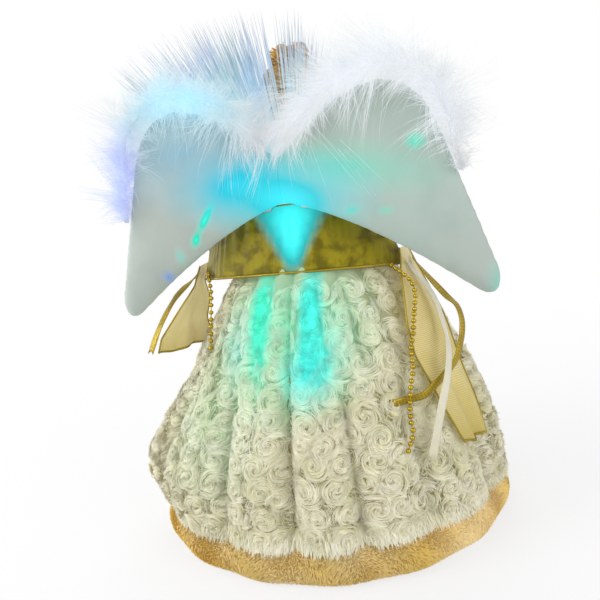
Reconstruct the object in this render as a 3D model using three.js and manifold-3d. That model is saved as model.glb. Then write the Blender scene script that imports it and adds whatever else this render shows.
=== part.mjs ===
// Angel tree topper: a plush gown on a hollow cone, padded satin wings and a lit fan of glass-clear fibres.
// Millimetres, +Z up. The angel faces -Y, so +X is its left side and +Y its back.
// The origin is on the cone's axis, in the plane that the base hoop stands on.

import * as THREE from 'three';
import { mergeVertices } from 'three/addons/utils/BufferGeometryUtils.js';
import Module from 'manifold-3d';

const wasm = await Module();
wasm.setup();

const { cos, sin, sqrt, PI } = Math;
const { lerp, degToRad } = THREE.MathUtils;
const at = (x, y, z) => new THREE.Vector3(x, y, z);

// Clearances
const FIT = 0.3; // between pieces that seat on each other
const RUN = 0.3; // round a turning wire or pin
const WELD = 1e-4; // corners closer than this are one corner

// Hollow cone and its base hoop
const CONE_FOOT_R = 86;
const CONE_TOP_R = 34;
const CONE_TOP_Z = 168;
const CONE_WALL = 2;
const HOOP_H = 2.6;
const HOOP_REACH = 2; // how far the hoop's flange stands out beyond the cone
const HOOP_LIP_H = 8;
const HOOP_LIP_WALL = 2.4;
const ROUND_SIDES = 36; // facets of the cone and of what fits it

// Socket for the tree's top shoot
const SOCKET_BORE_R = 11;
const SOCKET_WALL = 2;
const SOCKET_MOUTH_Z = 80;
const SOCKET_STOP_Z = 116;
const SOCKET_STOP_H = 2.5;
const SOCKET_LEAD_IN = 1.2;
const WEB_FOOT_Z = 94;
const WEB_T = 2.4;
const WEB_ANGLES = [-90, 30, 150];

// Cells and the box that holds them
const CELL_R = 7.1;
const CELL_L = 49;
const CELL_NUB_R = 2.6;
const CELL_NUB_H = 1.5;
const CELL_PITCH = 14.8;
const CELL_COUNT = 3;
const STRIP_T = 0.6; // contact strips
const STRIP_W = 10;
const SPRING_H = 2.4;
const BUMP_H = 1.4;
const BOX_WALL = 2;
const BOX_FOOT_Z = 9;
const BOX_RIB_T = 2.5;

// Door of the cell box
const DOOR_T = 2;
const DOOR_LAP = 1; // how far the door covers the box above and below the cells
const DOOR_BARREL_R = 2.2;
const DOOR_PIN_R = 1.2;
const LUG_R = 3;
const LUG_H = 5;
const LUG_SEAT = 0.4; // how far the lugs sink into the box's side

// Sliding switch under the box
const SWITCH_TRAVEL = 4;
const SWITCH_BAY_H = 3.2;
const KNOB = { length: 6, width: 5, height: 3 };
const NECK = { length: 3.4, width: 3 };
const FLANGE = { length: 7, width: 6, height: 1.6 };

// Cap of the cone, lamp and fibre bundle
const CAP_H = 3;
const CAP_LIP_H = 5;
const CAP_LIP_WALL = 1.6;
const LAMP_INSET = 16; // the lamp stands behind the angel's back, this far inside the cone's top edge
const LAMP_Y = CONE_TOP_R - LAMP_INSET;
const LAMP_R = 11;
const LAMP_WALL = 1.6;
const LAMP_SIDES = 18;
const LAMP_FOOT_Z = 126;
const LAMP_FLOOR = 2;
const BOARD_T = 1.6;
const LENS_R = 2.6;
const LENS_H = 8;
const FERRULE_R = 8.2;
const FERRULE_FOOT_Z = 148;
const FERRULE_COLLAR_H = 6;
const FERRULE_STAND = 8; // above the cap
const LEAD_R = 1.3;
const LEAD_RISE = 12; // straight run out of the battery box
const LEAD_STRAIGHT = 9; // straight run into the lamp housing
const BUNDLE_R = 7.4;
const BUNDLE_H = 2.5;
const BUNDLE_SPLIT = 0.8; // half the slit between the two bundles
const STRAND_R = 0.32;
const STRAND_L = 134;
const STRAND_SHORTEST = 0.84; // share of the longest strand
const FAN_OUTER = 1.06; // how much longer the strands are at the fan's outer side
const STRAND_PITCH = 0.74;
const STRAND_FIRST_X = 2.6;
const FAN_FIRST_DEG = 3;
const FAN_LAST_DEG = 41;
const FAN_BACK = 7; // how far the tips lean back
const FAN_FLATTEN = 0.25; // depth of the fan at its tips, as a share of the bundle's depth

// Gown: skirt and plush hem
const SKIRT_FLARE = 12; // skirt edge beyond the cone's foot
const SKIRT_WAIST_EASE = 5; // skirt top beyond the cone's top
const SKIRT_RISE = 3; // skirt top above the cone's top
const SKIRT_EDGE_Z = 14;
const SKIRT_BELL = 1.9; // roundness of the bell
const SKIRT_CLOTH = 2.5;
const SKIRT_FOLDS = 14;
const FOLD_TOP = 1.2;
const FOLD_EDGE = 4;
const HEM_OVERHANG = 7; // hem beyond the skirt edge
const HEM_LIFT = 0.4; // pile just clear of the standing plane
const HEM_WAVE = 1.2;
const HEM_STAND_Z = 26; // top of the strip that is sewn inside the skirt
const SKIRT_ROWS = 7;
const SWING_DEG = 20; // the skirt swings out on the angel's left, a little to the rear
const SWING_SPREAD_DEG = 34;
const SWING_OUT = 22;
const SWING_Z = 50;
const SWING_H = 36;
const HEM_SWING = 11;
const HEM_STRIP_SWING = 0.85; // share of the skirt's swing that the sewn strip follows

// Figure
const BODY_Y = -6;
const FIGURE_SIDES = 16;
const SHOULDER_H = 31; // above the cap
const SHOULDER_X = 35.5;
const SHOULDER_WIRE_R = 1.2;
const NECK_TOP_H = 66;
const NECK_R = 7.5;
const NECK_SEAT = 8; // how far the neck reaches into the head
const HEAD_FORWARD = 2;
const NECK_EASE = 0.2;
const FACE_FORWARD = 19; // root of the nose, ahead of the head's middle
const NOSE = [2.2, 2.6, 4]; // half-sizes
const NOSE_H = 20; // above the chin
const HAIRLINE_H = 38; // above the chin
const FACE_OPEN = 7; // the hair is open further ahead of the head's middle than this
const FACE_OPEN_REACH = 60;
const BODICE_T = 1.6;
const BODICE_LOW_H = 1;
const BODICE_TOP_H = 26;
const BUN_R = 10.5;
const BUN_TOP_H = 64.5; // above the chin
const ARM_SHOULDER_R = 6;
const ARM_WRIST_R = 4;
const ARM_STEPS = 14;
const ARM_SIDES = 10;
const SLEEVE_SPAN = [0.35, 0.93]; // from above the elbow to the wrist
const SLEEVE_SIDES = 12;
const SLEEVE_T = 1;
const SLEEVE_EASE = 0.5;
const SLEEVE_FLARE = 8;
const SLEEVE_BELL = 1.6; // how late the sleeve opens
const WRIST_L = 6;
const WRIST_R = 3.6;
const PALM = [4.6, 6, 2.4]; // half-sizes
const PALM_Y = 8;
const FINGER_COUNT = 4;
const FINGER_R = 1.15;
const FINGER_L = 8.5;
const FINGER_PITCH = 2.1;
const FINGER_Y = 12;
const FINGER_SPREAD = 0.05;
const THUMB_L = 7;
const THUMB_R = 1.25;
const THUMB_X = -3;
const THUMB_Y = 7;
const THUMB_TILT = 0.75;
// Left arm's line from its shoulder joint over the elbow to the wrist
const ARM_LINE = [
  [0, 0, 5.5], [0.2, 0, 0], [5, -1, -12], [11, -3, -23], [11, -13, -27], [6, -28, -22], [-3, -42, -16],
];

// Torso sections: height above the cap, half-width, half-depth
const TORSO = [
  [0, 20, 11], [10, 21.5, 12], [22, 26, 13], [SHOULDER_H, 29, 12.5], [36, 26, 11], [40, 14, 9.5],
  [44, NECK_R + 1, NECK_R + 1], [NECK_TOP_H, NECK_R, NECK_R],
];
// Head sections: height above the chin, half-width, half-depth, shift towards the back
const HEAD = [
  [0, 8.6, 9, 0], [3, 11.5, 13, -2], [9, 15, 17, -2], [18, 18, 19.5, -0.5], [27, 18.8, 20, 0],
  [36, 17, 18.5, 0.5], [43, 12, 13.5, 0.5], [47.5, 4, 4.5, 0.5],
];
// Hair sections in the same terms
const HAIR = [
  [4, 15, 11, 6], [12, 20.5, 18, 3.5], [24, 22.8, 22, 1.5], [36, 22.5, 22, 1], [45, 20, 20, 1],
  [52, 16, 16, 1.5], [56, 9, 9, 1.5],
];

// Shawl of sheer ribbon across the back and its two hanging tails
const SHEER_T = 0.8;
const SHAWL_LEFT_W = 72;
const SHAWL_RIGHT_W = 58;
const SHAWL_Y = 2;
const SHAWL_MID_LOW = 6; // below the skirt's top, at the middle of the back
const SHAWL_END_LOW = 13; // below the skirt's top, at the gathered ends
const SHAWL_MID_TOP = 32; // above the skirt's top, at the middle of the back
const SHAWL_COLUMNS = 24;
const SHAWL_ROWS = 4;
const SHAWL_NARROWING = 5; // half-width lost from the lower to the upper edge
const SHAWL_TOP_Y = 31; // middle of the back at the upper edge
const SHAWL_PLEAT = 0.7;
const SHAWL_SETTLE = 0.4; // how far the lower edge lies in between the skirt's folds
const TAIL_LEFT_W = 36;
const TAIL_LEFT_L = 50;
const TAIL_LEFT_OUT = 17; // how far the foot stands out from the shawl's end
const TAIL_LEFT_TWIST_DEG = 50;
const TAIL_RIGHT_W = 43;
const TAIL_RIGHT_L = 110;
const TAIL_RIGHT_OUT = 40;
const TAIL_RIGHT_TWIST_DEG = 0;
const TAIL_GATHER_W = 10;
const TAIL_RIPPLE = 1.6;
const TAIL_TWIST_FROM = 0.25;
const TAIL_TWIST_RATE = 1.7;
const TAIL_STEPS = 12;
const TAIL_ACROSS = 6;
// Down each tail: share of its length, share of its distance out, degrees towards the back
const TAIL_LEFT = [[0.04, 0, 5], [0.32, 0.24, 12], [0.68, 0.65, 18], [1, 1, 21]];
const TAIL_RIGHT = [
  [0.02, 0, 4], [0.145, 0.125, 10], [0.33, 0.35, 16], [0.53, 0.575, 21], [0.78, 0.85, 25], [1, 1, 26],
];

// Ribbons and bead strands, and their routes from the shawl's ends down over the gown
const BEAD_D = 3;
const CREAM_W = 6;
const GOLD_W = 4.5;
const RIBBON_T = 0.7;
const BEADS_LEFT = [
  [61.5, 26.5, 164.8], [57.5, 35.2, 154.8], [56.8, 40.3, 145.3], [56.8, 44.8, 134], [57.1, 48.3, 123.5],
];
const BEADS_RIGHT = [
  [-53.1, 21.4, 160.5], [-64, 28.8, 153.5], [-67.4, 32.3, 146.5], [-67.4, 36.3, 140], [-67.2, 42.4, 134],
  [-66.8, 48.7, 125], [-65.4, 51.3, 118.7], [-66.7, 57.9, 109.3], [-65.5, 63.1, 100.8], [-64.5, 66.5, 90.7],
  [-64.6, 69, 83.6], [-65.6, 71.5, 77.2], [-62.5, 74.4, 68],
];
const CREAM_RIGHT = [
  [-61.7, 14, 161], [-65.3, 17.1, 155.7], [-71.4, 19.8, 148.7], [-77.8, 24.3, 137.4], [-82, 31.9, 123.8],
  [-84.8, 42.5, 115.5], [-84.4, 53.5, 103], [-80.7, 60.7, 88], [-77.8, 64.9, 76], [-74.6, 70.4, 62.8],
];
const GOLD_LEFT = [[75.2, 9, 164], [79, 18, 160], [85.4, 31, 152], [90.6, 46, 138.3], [95, 55, 124]];
const GOLD_RIGHT = [
  [-62.6, 5, 162], [-66, 9, 158.5], [-73.8, 12.4, 148.7], [-82.4, 15.1, 138.5], [-88.2, 19.1, 133.7],
  [-90.8, 23, 126.2], [-90.4, 26.2, 118.2], [-89.3, 31, 113.2], [-87.1, 37.2, 106.4], [-81.9, 47.4, 101.7],
  [-75.1, 57.6, 96.9], [-71.4, 61.4, 94.6], [-63.8, 61.5, 92.8], [-58.9, 65.2, 92.6], [-54.2, 68.9, 93],
];

// Wings
const WING_SPAN = 117;
const WING_TOP = 60; // above the wing's root
const WING_DROP = 62; // tip below the root
const WING_ROOT_LIFT = 1.5; // root above the shoulders
const WING_ROOT_GAP = 3;
const WING_ROOT_H = 28;
const OUTLINE_STEPS = 6;
const WING_RIM_T = 1.8;
const WING_PAD_T = 6.8;
const WING_WIRE_R = 1.1;
const WIRE_STEPS = 44;
const WIRE_SIDES = 5;
const WIRE_INSET = 13;
const WIRE_STEP_BACK = 1.8; // the frame bends back from the hinge to the panel
const HINGE_X = 6;
const HINGE_Y = 36;
const PLATE_T = 3;
const PLATE_HALF_W = 10;
const PLATE_LUG_R = 2.7;
const PLATE_LUG_H = 4;
const STEM_HALF_W = 2.2;
const STEM_H = 9;
const MARABOU_R = 13;
const MARABOU_STEPS = 16;
const MARABOU_SIDES = 8;
const MARABOU_LIFT = 8; // its middle above the wing's edge
const MARABOU_END = 0.56; // radius at its ends, as a share of the middle's
const MARABOU_ROUND = 0.04; // how far inside its ends the swell begins
const MARABOU_LUMP = 0.05;

// Sizes that follow from those above
const CONE_FOOT_Z = HOOP_H + FIT;
const FACET_IN = cos(PI / ROUND_SIDES); // inner radius of a faceted round, as a share of its corners'
const CAP_Z = CONE_TOP_Z + FIT;
const CAP_TOP_Z = CAP_Z + CAP_H;
const BAY_W = CELL_PITCH * (CELL_COUNT - 1) + 2 * CELL_R + 2 * FIT;
const BAY_D = 2 * CELL_R + 2 * FIT;
const BAY_Z = BOX_FOOT_Z + 2 * BOX_WALL + SWITCH_BAY_H;
const CELL_Z = BAY_Z + FIT + STRIP_T + SPRING_H + FIT;
const CELL_TOP_Z = CELL_Z + CELL_L + CELL_NUB_H;
const BAY_TOP_Z = CELL_TOP_Z + FIT + BUMP_H + STRIP_T + FIT;
const BOX_TOP_Z = BAY_TOP_Z + BOX_WALL;
const BOX_W = BAY_W + 2 * BOX_WALL;
const BOX_D = BAY_D + BOX_WALL;
const BOX_BACK_Y = sqrt((coneInside(BOX_TOP_Z) - FIT) ** 2 - (BOX_W / 2) ** 2);
const BOX_FRONT_Y = BOX_BACK_Y - BOX_D;
const BAY_Y = BOX_FRONT_Y + BAY_D / 2;
const DOOR_Z = BAY_Z - DOOR_LAP;
const DOOR_TOP_Z = BAY_TOP_Z + DOOR_LAP;
const DOOR_AXIS_X = -(BOX_W / 2 + LUG_R - LUG_SEAT);
const DOOR_AXIS_Y = BOX_FRONT_Y - FIT - DOOR_T / 2;
const FERRULE_TOP_Z = CAP_TOP_Z + FERRULE_STAND;
const SKIRT_EDGE_R = CONE_FOOT_R + SKIRT_FLARE;
const SKIRT_TOP_R = CONE_TOP_R + SKIRT_WAIST_EASE;
const SKIRT_TOP_Z = CONE_TOP_Z + SKIRT_RISE;
const HEM_R = SKIRT_EDGE_R + HEM_OVERHANG;
const TORSO_Z = CAP_TOP_Z + FIT;
const SHOULDER_Z = TORSO_Z + SHOULDER_H;
const HEAD_Z = TORSO_Z + NECK_TOP_H - NECK_SEAT;
const HEAD_Y = BODY_Y - HEAD_FORWARD;
const WING_Z = SHOULDER_Z + WING_ROOT_LIFT; // the wing's lower root corner
const WIRE_Y = HINGE_Y + WIRE_STEP_BACK;
const PANEL_Y = WIRE_Y + WING_WIRE_R + FIT;
const PLATE_Z = WING_Z + 1;
const PLATE_H = WING_ROOT_H - 3;
const PLATE_BACK_Y = HINGE_Y - PLATE_LUG_R - FIT;

// Radii and heights along the cone and the gown
function coneOutside(z) {
  return lerp(CONE_FOOT_R, CONE_TOP_R, (z - CONE_FOOT_Z) / (CONE_TOP_Z - CONE_FOOT_Z));
}

function coneInside(z) {
  return (coneOutside(z) - CONE_WALL) * FACET_IN;
}

function skirtRise(z) {
  return (z - SKIRT_EDGE_Z) / (SKIRT_TOP_Z - SKIRT_EDGE_Z);
}

function skirtR(z) {
  return lerp(SKIRT_TOP_R, SKIRT_EDGE_R, 1 - skirtRise(z) ** SKIRT_BELL);
}

function foldDepth(z) {
  return lerp(FOLD_EDGE, FOLD_TOP, skirtRise(z));
}

function skirtReach(z) {
  return skirtR(z) + foldDepth(z);
}

// Share of the swing at a turn round the gown, 1 at its middle
function swingShare(turn) {
  const off = turn - degToRad(SWING_DEG);
  const near = off > PI ? off - 2 * PI : off;
  return Math.exp(-((near / degToRad(SWING_SPREAD_DEG)) ** 2));
}

function skirtSwing(turn, z) {
  return SWING_OUT * swingShare(turn) * Math.exp(-(((z - SWING_Z) / SWING_H) ** 2));
}

// Solids from geometry: corners merged, slivers dropped, faces turned outwards
function signedVolume(corners, faces) {
  let six = 0;
  const [a, b, c] = [at(), at(), at()];
  for (let i = 0; i < faces.length; i += 3) {
    a.fromArray(corners, 3 * faces[i]);
    b.fromArray(corners, 3 * faces[i + 1]);
    c.fromArray(corners, 3 * faces[i + 2]);
    six += a.dot(b.cross(c));
  }
  return six / 6;
}

function solidOf(geometry) {
  const bare = geometry.clone();
  bare.deleteAttribute('normal');
  bare.deleteAttribute('uv');
  const merged = mergeVertices(bare, WELD);
  const corners = new Float32Array(merged.attributes.position.array);
  const index = merged.index.array;
  const faces = [];
  for (let i = 0; i < index.length; i += 3) {
    const [a, b, c] = [index[i], index[i + 1], index[i + 2]];
    if (a !== b && b !== c && c !== a) faces.push(a, b, c);
  }
  if (signedVolume(corners, faces) < 0) faces.reverse();
  const triVerts = new Uint32Array(faces);
  return new wasm.Manifold(new wasm.Mesh({ numProp: 3, vertProperties: corners, triVerts }));
}

function geometryOf(solid) {
  const mesh = solid.getMesh();
  const geometry = new THREE.BufferGeometry();
  geometry.setAttribute('position', new THREE.BufferAttribute(new Float32Array(mesh.vertProperties), 3));
  geometry.setIndex(new THREE.BufferAttribute(new Uint32Array(mesh.triVerts), 1));
  geometry.computeVertexNormals();
  return geometry;
}

function joined(first, ...others) {
  return others.reduce((whole, part) => whole.add(part), first);
}

function cut(first, ...others) {
  return others.reduce((whole, part) => whole.subtract(part), first);
}

// Same shape on the angel's other side
function mirrored(solid) {
  return solidOf(geometryOf(solid).scale(-1, 1, 1));
}

// Basic forms
function block(x0, x1, y0, y1, z0, z1) {
  const box = new THREE.BoxGeometry(x1 - x0, y1 - y0, z1 - z0);
  return solidOf(box.translate((x0 + x1) / 2, (y0 + y1) / 2, (z0 + z1) / 2));
}

function post(radius, z0, z1, x, y, sides = 16, topRadius = radius) {
  const rod = new THREE.CylinderGeometry(topRadius, radius, z1 - z0, sides).rotateX(PI / 2);
  return solidOf(rod.translate(x, y, (z0 + z1) / 2));
}

function crossBar(radius, x0, x1, y, z, sides = 12) {
  const rod = new THREE.CylinderGeometry(radius, radius, x1 - x0, sides).rotateZ(PI / 2);
  return solidOf(rod.translate((x0 + x1) / 2, y, z));
}

function ball(halfX, halfY, halfZ, x, y, z, sides = 12) {
  const sphere = new THREE.SphereGeometry(1, sides, sides / 2).rotateX(PI / 2);
  return solidOf(sphere.scale(halfX, halfY, halfZ).translate(x, y, z));
}

// Revolve of [radius, height] points about a vertical axis at (x, y)
function turned(profile, sides = ROUND_SIDES, x = 0, y = 0) {
  const points = profile.map(([r, z]) => new THREE.Vector2(r, z));
  if (profile[0][0] > 0) points.push(points[0].clone());
  return solidOf(new THREE.LatheGeometry(points, sides).rotateX(PI / 2).translate(x, y, 0));
}

function ellipseRing(halfX, halfY, y, z, sides) {
  const ring = [];
  for (let i = 0; i < sides; i++) {
    const turn = (2 * PI * i) / sides;
    ring.push(at(halfX * cos(turn), y + halfY * sin(turn), z));
  }
  return ring;
}

// Skin over rings of equal counts. Unless it wraps, its ends are capped by fans, or by strips if it is thin
function loft(rings, { wrap = false, strip = false } = {}) {
  const count = rings[0].length;
  const points = rings.flat();
  const faces = [];
  const spans = wrap ? rings.length : rings.length - 1;
  for (let i = 0; i < spans; i++) {
    const low = i * count;
    const high = ((i + 1) % rings.length) * count;
    for (let j = 0; j < count; j++) {
      const next = (j + 1) % count;
      faces.push(low + j, low + next, high + next, low + j, high + next, high + j);
    }
  }
  const last = (rings.length - 1) * count;
  if (!wrap && strip) {
    for (let j = 0; j < count / 2 - 1; j++) {
      const [a, b, c, d] = [j, j + 1, count - 2 - j, count - 1 - j];
      faces.push(a, c, b, a, d, c);
      faces.push(last + a, last + b, last + c, last + a, last + c, last + d);
    }
  } else if (!wrap) {
    const middle = (ring) => ring.reduce((sum, point) => sum.add(point), at()).divideScalar(count);
    const bottom = points.push(middle(rings[0])) - 1;
    const top = points.push(middle(rings[rings.length - 1])) - 1;
    for (let j = 0; j < count; j++) {
      const next = (j + 1) % count;
      faces.push(bottom, next, j, top, last + j, last + next);
    }
  }
  const geometry = new THREE.BufferGeometry().setFromPoints(points);
  return solidOf(geometry.setIndex(faces));
}

// Cloth between an outer and an inner face, each a list of columns of points
function cloth(outer, inner, wrap = false) {
  const rings = outer.map((column, i) => [...column, ...inner[i].slice().reverse()]);
  return loft(rings, { wrap, strip: true });
}

function rodAlong(curve, radius, steps, sides) {
  const corners = ellipseRing(radius, radius, 0, 0, sides).map((p) => new THREE.Vector2(p.x, p.y));
  return solidOf(new THREE.ExtrudeGeometry(new THREE.Shape(corners), { steps, extrudePath: curve }));
}

// Rings square to a curve, with a radius that changes along it
function ringsAlong(curve, steps, from, to, radiusAt, sides) {
  const frames = curve.computeFrenetFrames(steps, false);
  const rings = [];
  for (let i = 0; i <= steps; i++) {
    const share = i / steps;
    if (share < from || share > to) continue;
    const middle = curve.getPointAt(share);
    const radius = radiusAt((share - from) / (to - from), share);
    rings.push(ellipseRing(radius, radius, 0, 0, sides).map((p) => (
      middle.clone().addScaledVector(frames.normals[i], p.x).addScaledVector(frames.binormals[i], p.y)
    )));
  }
  return rings;
}

// Base: hollow cone on its hoop
function coneShell() {
  const footR = coneOutside(CONE_FOOT_Z);
  return turned([
    [footR - CONE_WALL, CONE_FOOT_Z], [footR, CONE_FOOT_Z],
    [CONE_TOP_R, CONE_TOP_Z], [CONE_TOP_R - CONE_WALL, CONE_TOP_Z],
  ]);
}

function baseHoop() {
  const lipTop = HOOP_H + HOOP_LIP_H;
  const lipR = coneInside(lipTop) - FIT;
  const rimR = CONE_FOOT_R + HOOP_REACH;
  const boreR = lipR - HOOP_LIP_WALL;
  return turned([[boreR, 0], [rimR, 0], [rimR, HOOP_H], [lipR, HOOP_H], [lipR, lipTop], [boreR, lipTop]]);
}

function treeSocket() {
  const outerR = SOCKET_BORE_R + SOCKET_WALL;
  const topZ = SOCKET_STOP_Z + SOCKET_STOP_H;
  const tube = turned([
    [0, topZ], [outerR, topZ], [outerR, SOCKET_MOUTH_Z], [SOCKET_BORE_R + SOCKET_LEAD_IN, SOCKET_MOUTH_Z],
    [SOCKET_BORE_R, SOCKET_MOUTH_Z + 4 * SOCKET_LEAD_IN], [SOCKET_BORE_R, SOCKET_STOP_Z], [0, SOCKET_STOP_Z],
  ], 24);
  const rootR = SOCKET_BORE_R + SOCKET_WALL / 2;
  const outline = new THREE.Shape([
    new THREE.Vector2(rootR, WEB_FOOT_Z), new THREE.Vector2(coneInside(WEB_FOOT_Z) - FIT, WEB_FOOT_Z),
    new THREE.Vector2(coneInside(topZ) - FIT, topZ), new THREE.Vector2(rootR, topZ),
  ]);
  const webs = WEB_ANGLES.map((angle) => {
    const web = new THREE.ExtrudeGeometry(outline, { depth: WEB_T, bevelEnabled: false });
    return solidOf(web.rotateX(PI / 2).translate(0, WEB_T / 2, 0).rotateZ(degToRad(angle)));
  });
  return joined(tube, ...webs);
}

// Cell box on the back of the cone's inside, with its door, cells, contacts and switch
function cellXs() {
  return Array.from({ length: CELL_COUNT }, (_, i) => (i - (CELL_COUNT - 1) / 2) * CELL_PITCH);
}

function lugZs() {
  return [[DOOR_Z, DOOR_Z + LUG_H], [DOOR_TOP_Z - LUG_H, DOOR_TOP_Z]];
}

function batteryBox() {
  const halfW = BOX_W / 2;
  const midY = (BOX_FRONT_Y + BOX_BACK_Y) / 2;
  const wallZ = BOX_FOOT_Z + BOX_WALL;
  const inside = turned([
    [0, BOX_FOOT_Z], [coneInside(BOX_FOOT_Z) - FIT, BOX_FOOT_Z],
    [coneInside(BOX_TOP_Z) - FIT, BOX_TOP_Z], [0, BOX_TOP_Z],
  ]);
  const ribX = halfW - BOX_RIB_T;
  const ribs = [-1, 1].map((side) => block(
    side * ribX - BOX_RIB_T / 2, side * ribX + BOX_RIB_T / 2,
    BOX_BACK_Y - BOX_WALL / 2, CONE_FOOT_R, wallZ, BOX_TOP_Z,
  ).intersect(inside));
  const lugs = lugZs().map(([z0, z1]) => cut(
    joined(
      post(LUG_R, z0, z1, DOOR_AXIS_X, DOOR_AXIS_Y),
      block(DOOR_AXIS_X - LUG_R / 2, FIT - halfW, DOOR_AXIS_Y, DOOR_AXIS_Y + 2 * LUG_R, z0, z1),
    ),
    post(DOOR_PIN_R + RUN, z0 - FIT, z1 + FIT, DOOR_AXIS_X, DOOR_AXIS_Y),
  ));
  const cells = block(-BAY_W / 2, BAY_W / 2, BOX_FRONT_Y - BOX_WALL, BOX_FRONT_Y + BAY_D, BAY_Z, BAY_TOP_Z);
  const slotX = (NECK.length + SWITCH_TRAVEL) / 2 + FIT;
  const slotY = NECK.width / 2 + FIT;
  const slot = block(-slotX, slotX, midY - slotY, midY + slotY, BOX_FOOT_Z - FIT, wallZ + FIT);
  const switchX = (FLANGE.length + SWITCH_TRAVEL) / 2 + FIT;
  const switchY = FLANGE.width / 2 + FIT;
  const switchBay = block(-switchX, switchX, midY - switchY, midY + switchY, wallZ, wallZ + SWITCH_BAY_H);
  const body = block(-halfW, halfW, BOX_FRONT_Y, BOX_BACK_Y, BOX_FOOT_Z, BOX_TOP_Z);
  return cut(joined(body, ...ribs, ...lugs), cells, slot, switchBay);
}

function batteryDoor() {
  const [[, lowLug], [highLug]] = lugZs();
  const barrelZ = lowLug + FIT;
  const barrelTopZ = highLug - FIT;
  const plateY = [DOOR_AXIS_Y - DOOR_T / 2, DOOR_AXIS_Y + DOOR_T / 2];
  const plateX = DOOR_AXIS_X + LUG_R + FIT;
  return joined(
    block(plateX, BOX_W / 2, ...plateY, DOOR_Z, DOOR_TOP_Z),
    block(DOOR_AXIS_X, plateX + FIT, ...plateY, barrelZ, barrelTopZ),
    post(DOOR_BARREL_R, barrelZ, barrelTopZ, DOOR_AXIS_X, DOOR_AXIS_Y),
    post(DOOR_PIN_R, DOOR_Z + FIT, DOOR_TOP_Z - FIT, DOOR_AXIS_X, DOOR_AXIS_Y, 12),
  );
}

function batteryCell(x, upsideDown) {
  const edge = 0.6;
  const profile = [
    [0, 0], [CELL_R - edge, 0], [CELL_R, edge], [CELL_R, CELL_L - edge], [CELL_R - edge, CELL_L],
    [CELL_NUB_R, CELL_L], [CELL_NUB_R, CELL_L + CELL_NUB_H], [0, CELL_L + CELL_NUB_H],
  ];
  const placed = profile.map(([r, h]) => [r, upsideDown ? CELL_TOP_Z - h : CELL_Z + h]);
  return turned(placed, 12, x, BAY_Y);
}

function contactStrip(z, tipZ, footR, tipR) {
  const reach = BAY_W / 2 - FIT;
  const strip = block(-reach, reach, BAY_Y - STRIP_W / 2, BAY_Y + STRIP_W / 2, z, z + STRIP_T);
  const low = Math.min(z + STRIP_T / 2, tipZ);
  const high = Math.max(z + STRIP_T / 2, tipZ);
  const [lowR, highR] = tipZ > z ? [footR, tipR] : [tipR, footR];
  return joined(strip, ...cellXs().map((x) => post(lowR, low, high, x, BAY_Y, 10, highR)));
}

function switchSlider() {
  const x = -SWITCH_TRAVEL / 2;
  const y = (BOX_FRONT_Y + BOX_BACK_Y) / 2;
  const knobTop = BOX_FOOT_Z - FIT;
  const flangeZ = BOX_FOOT_Z + BOX_WALL + FIT;
  const bar = (size, z0, z1) => block(
    x - size.length / 2, x + size.length / 2, y - size.width / 2, y + size.width / 2, z0, z1,
  );
  return joined(
    bar(KNOB, knobTop - KNOB.height, knobTop),
    bar(NECK, knobTop - KNOB.height / 2, flangeZ + FLANGE.height / 2),
    bar(FLANGE, flangeZ, flangeZ + FLANGE.height),
  );
}

// Cap, lamp, ferrule and fibre fans
function coneCap() {
  const lipR = (CONE_TOP_R - CONE_WALL) * FACET_IN - FIT;
  const lipBore = lipR - CAP_LIP_WALL;
  const lipZ = CONE_TOP_Z - CAP_LIP_H;
  const disc = turned([
    [0, CAP_Z], [lipBore, CAP_Z], [lipBore, lipZ], [lipR, lipZ], [lipR, CAP_Z],
    [CONE_TOP_R, CAP_Z], [CONE_TOP_R, CAP_TOP_Z], [0, CAP_TOP_Z],
  ]);
  return cut(disc, post(FERRULE_R + FIT, CAP_Z - FIT, CAP_TOP_Z + FIT, 0, LAMP_Y, LAMP_SIDES));
}

function lampHousing() {
  const boreR = LAMP_R - LAMP_WALL;
  const leadHole = LEAD_R + FIT;
  const topZ = CAP_Z - FIT;
  const floorZ = LAMP_FOOT_Z + LAMP_FLOOR;
  return turned([
    [leadHole, LAMP_FOOT_Z], [LAMP_R, LAMP_FOOT_Z], [LAMP_R, topZ], [boreR, topZ],
    [boreR, floorZ], [leadHole, floorZ],
  ], LAMP_SIDES, 0, LAMP_Y);
}

function boardZ() {
  return LAMP_FOOT_Z + LAMP_FLOOR + FIT;
}

function ledBoard() {
  return post(LAMP_R - LAMP_WALL - FIT, boardZ(), boardZ() + BOARD_T, 0, LAMP_Y, LAMP_SIDES);
}

function ledLens() {
  const footZ = boardZ() + BOARD_T + FIT;
  const shoulder = LENS_H - LENS_R;
  const dome = [30, 60].map((deg) => [
    LENS_R * cos(degToRad(deg)), footZ + shoulder + LENS_R * sin(degToRad(deg)),
  ]);
  return turned([
    [0, footZ], [LENS_R * 1.2, footZ], [LENS_R * 1.2, footZ + 1], [LENS_R, footZ + 1],
    [LENS_R, footZ + shoulder], ...dome, [0, footZ + LENS_H],
  ], 12, 0, LAMP_Y);
}

function fibreFerrule() {
  const collarR = LAMP_R - LAMP_WALL - FIT;
  const collarZ = FERRULE_FOOT_Z + FERRULE_COLLAR_H;
  return turned([
    [0, FERRULE_FOOT_Z], [collarR, FERRULE_FOOT_Z], [collarR, collarZ],
    [FERRULE_R, collarZ], [FERRULE_R, FERRULE_TOP_Z], [0, FERRULE_TOP_Z],
  ], LAMP_SIDES, 0, LAMP_Y);
}

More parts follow.
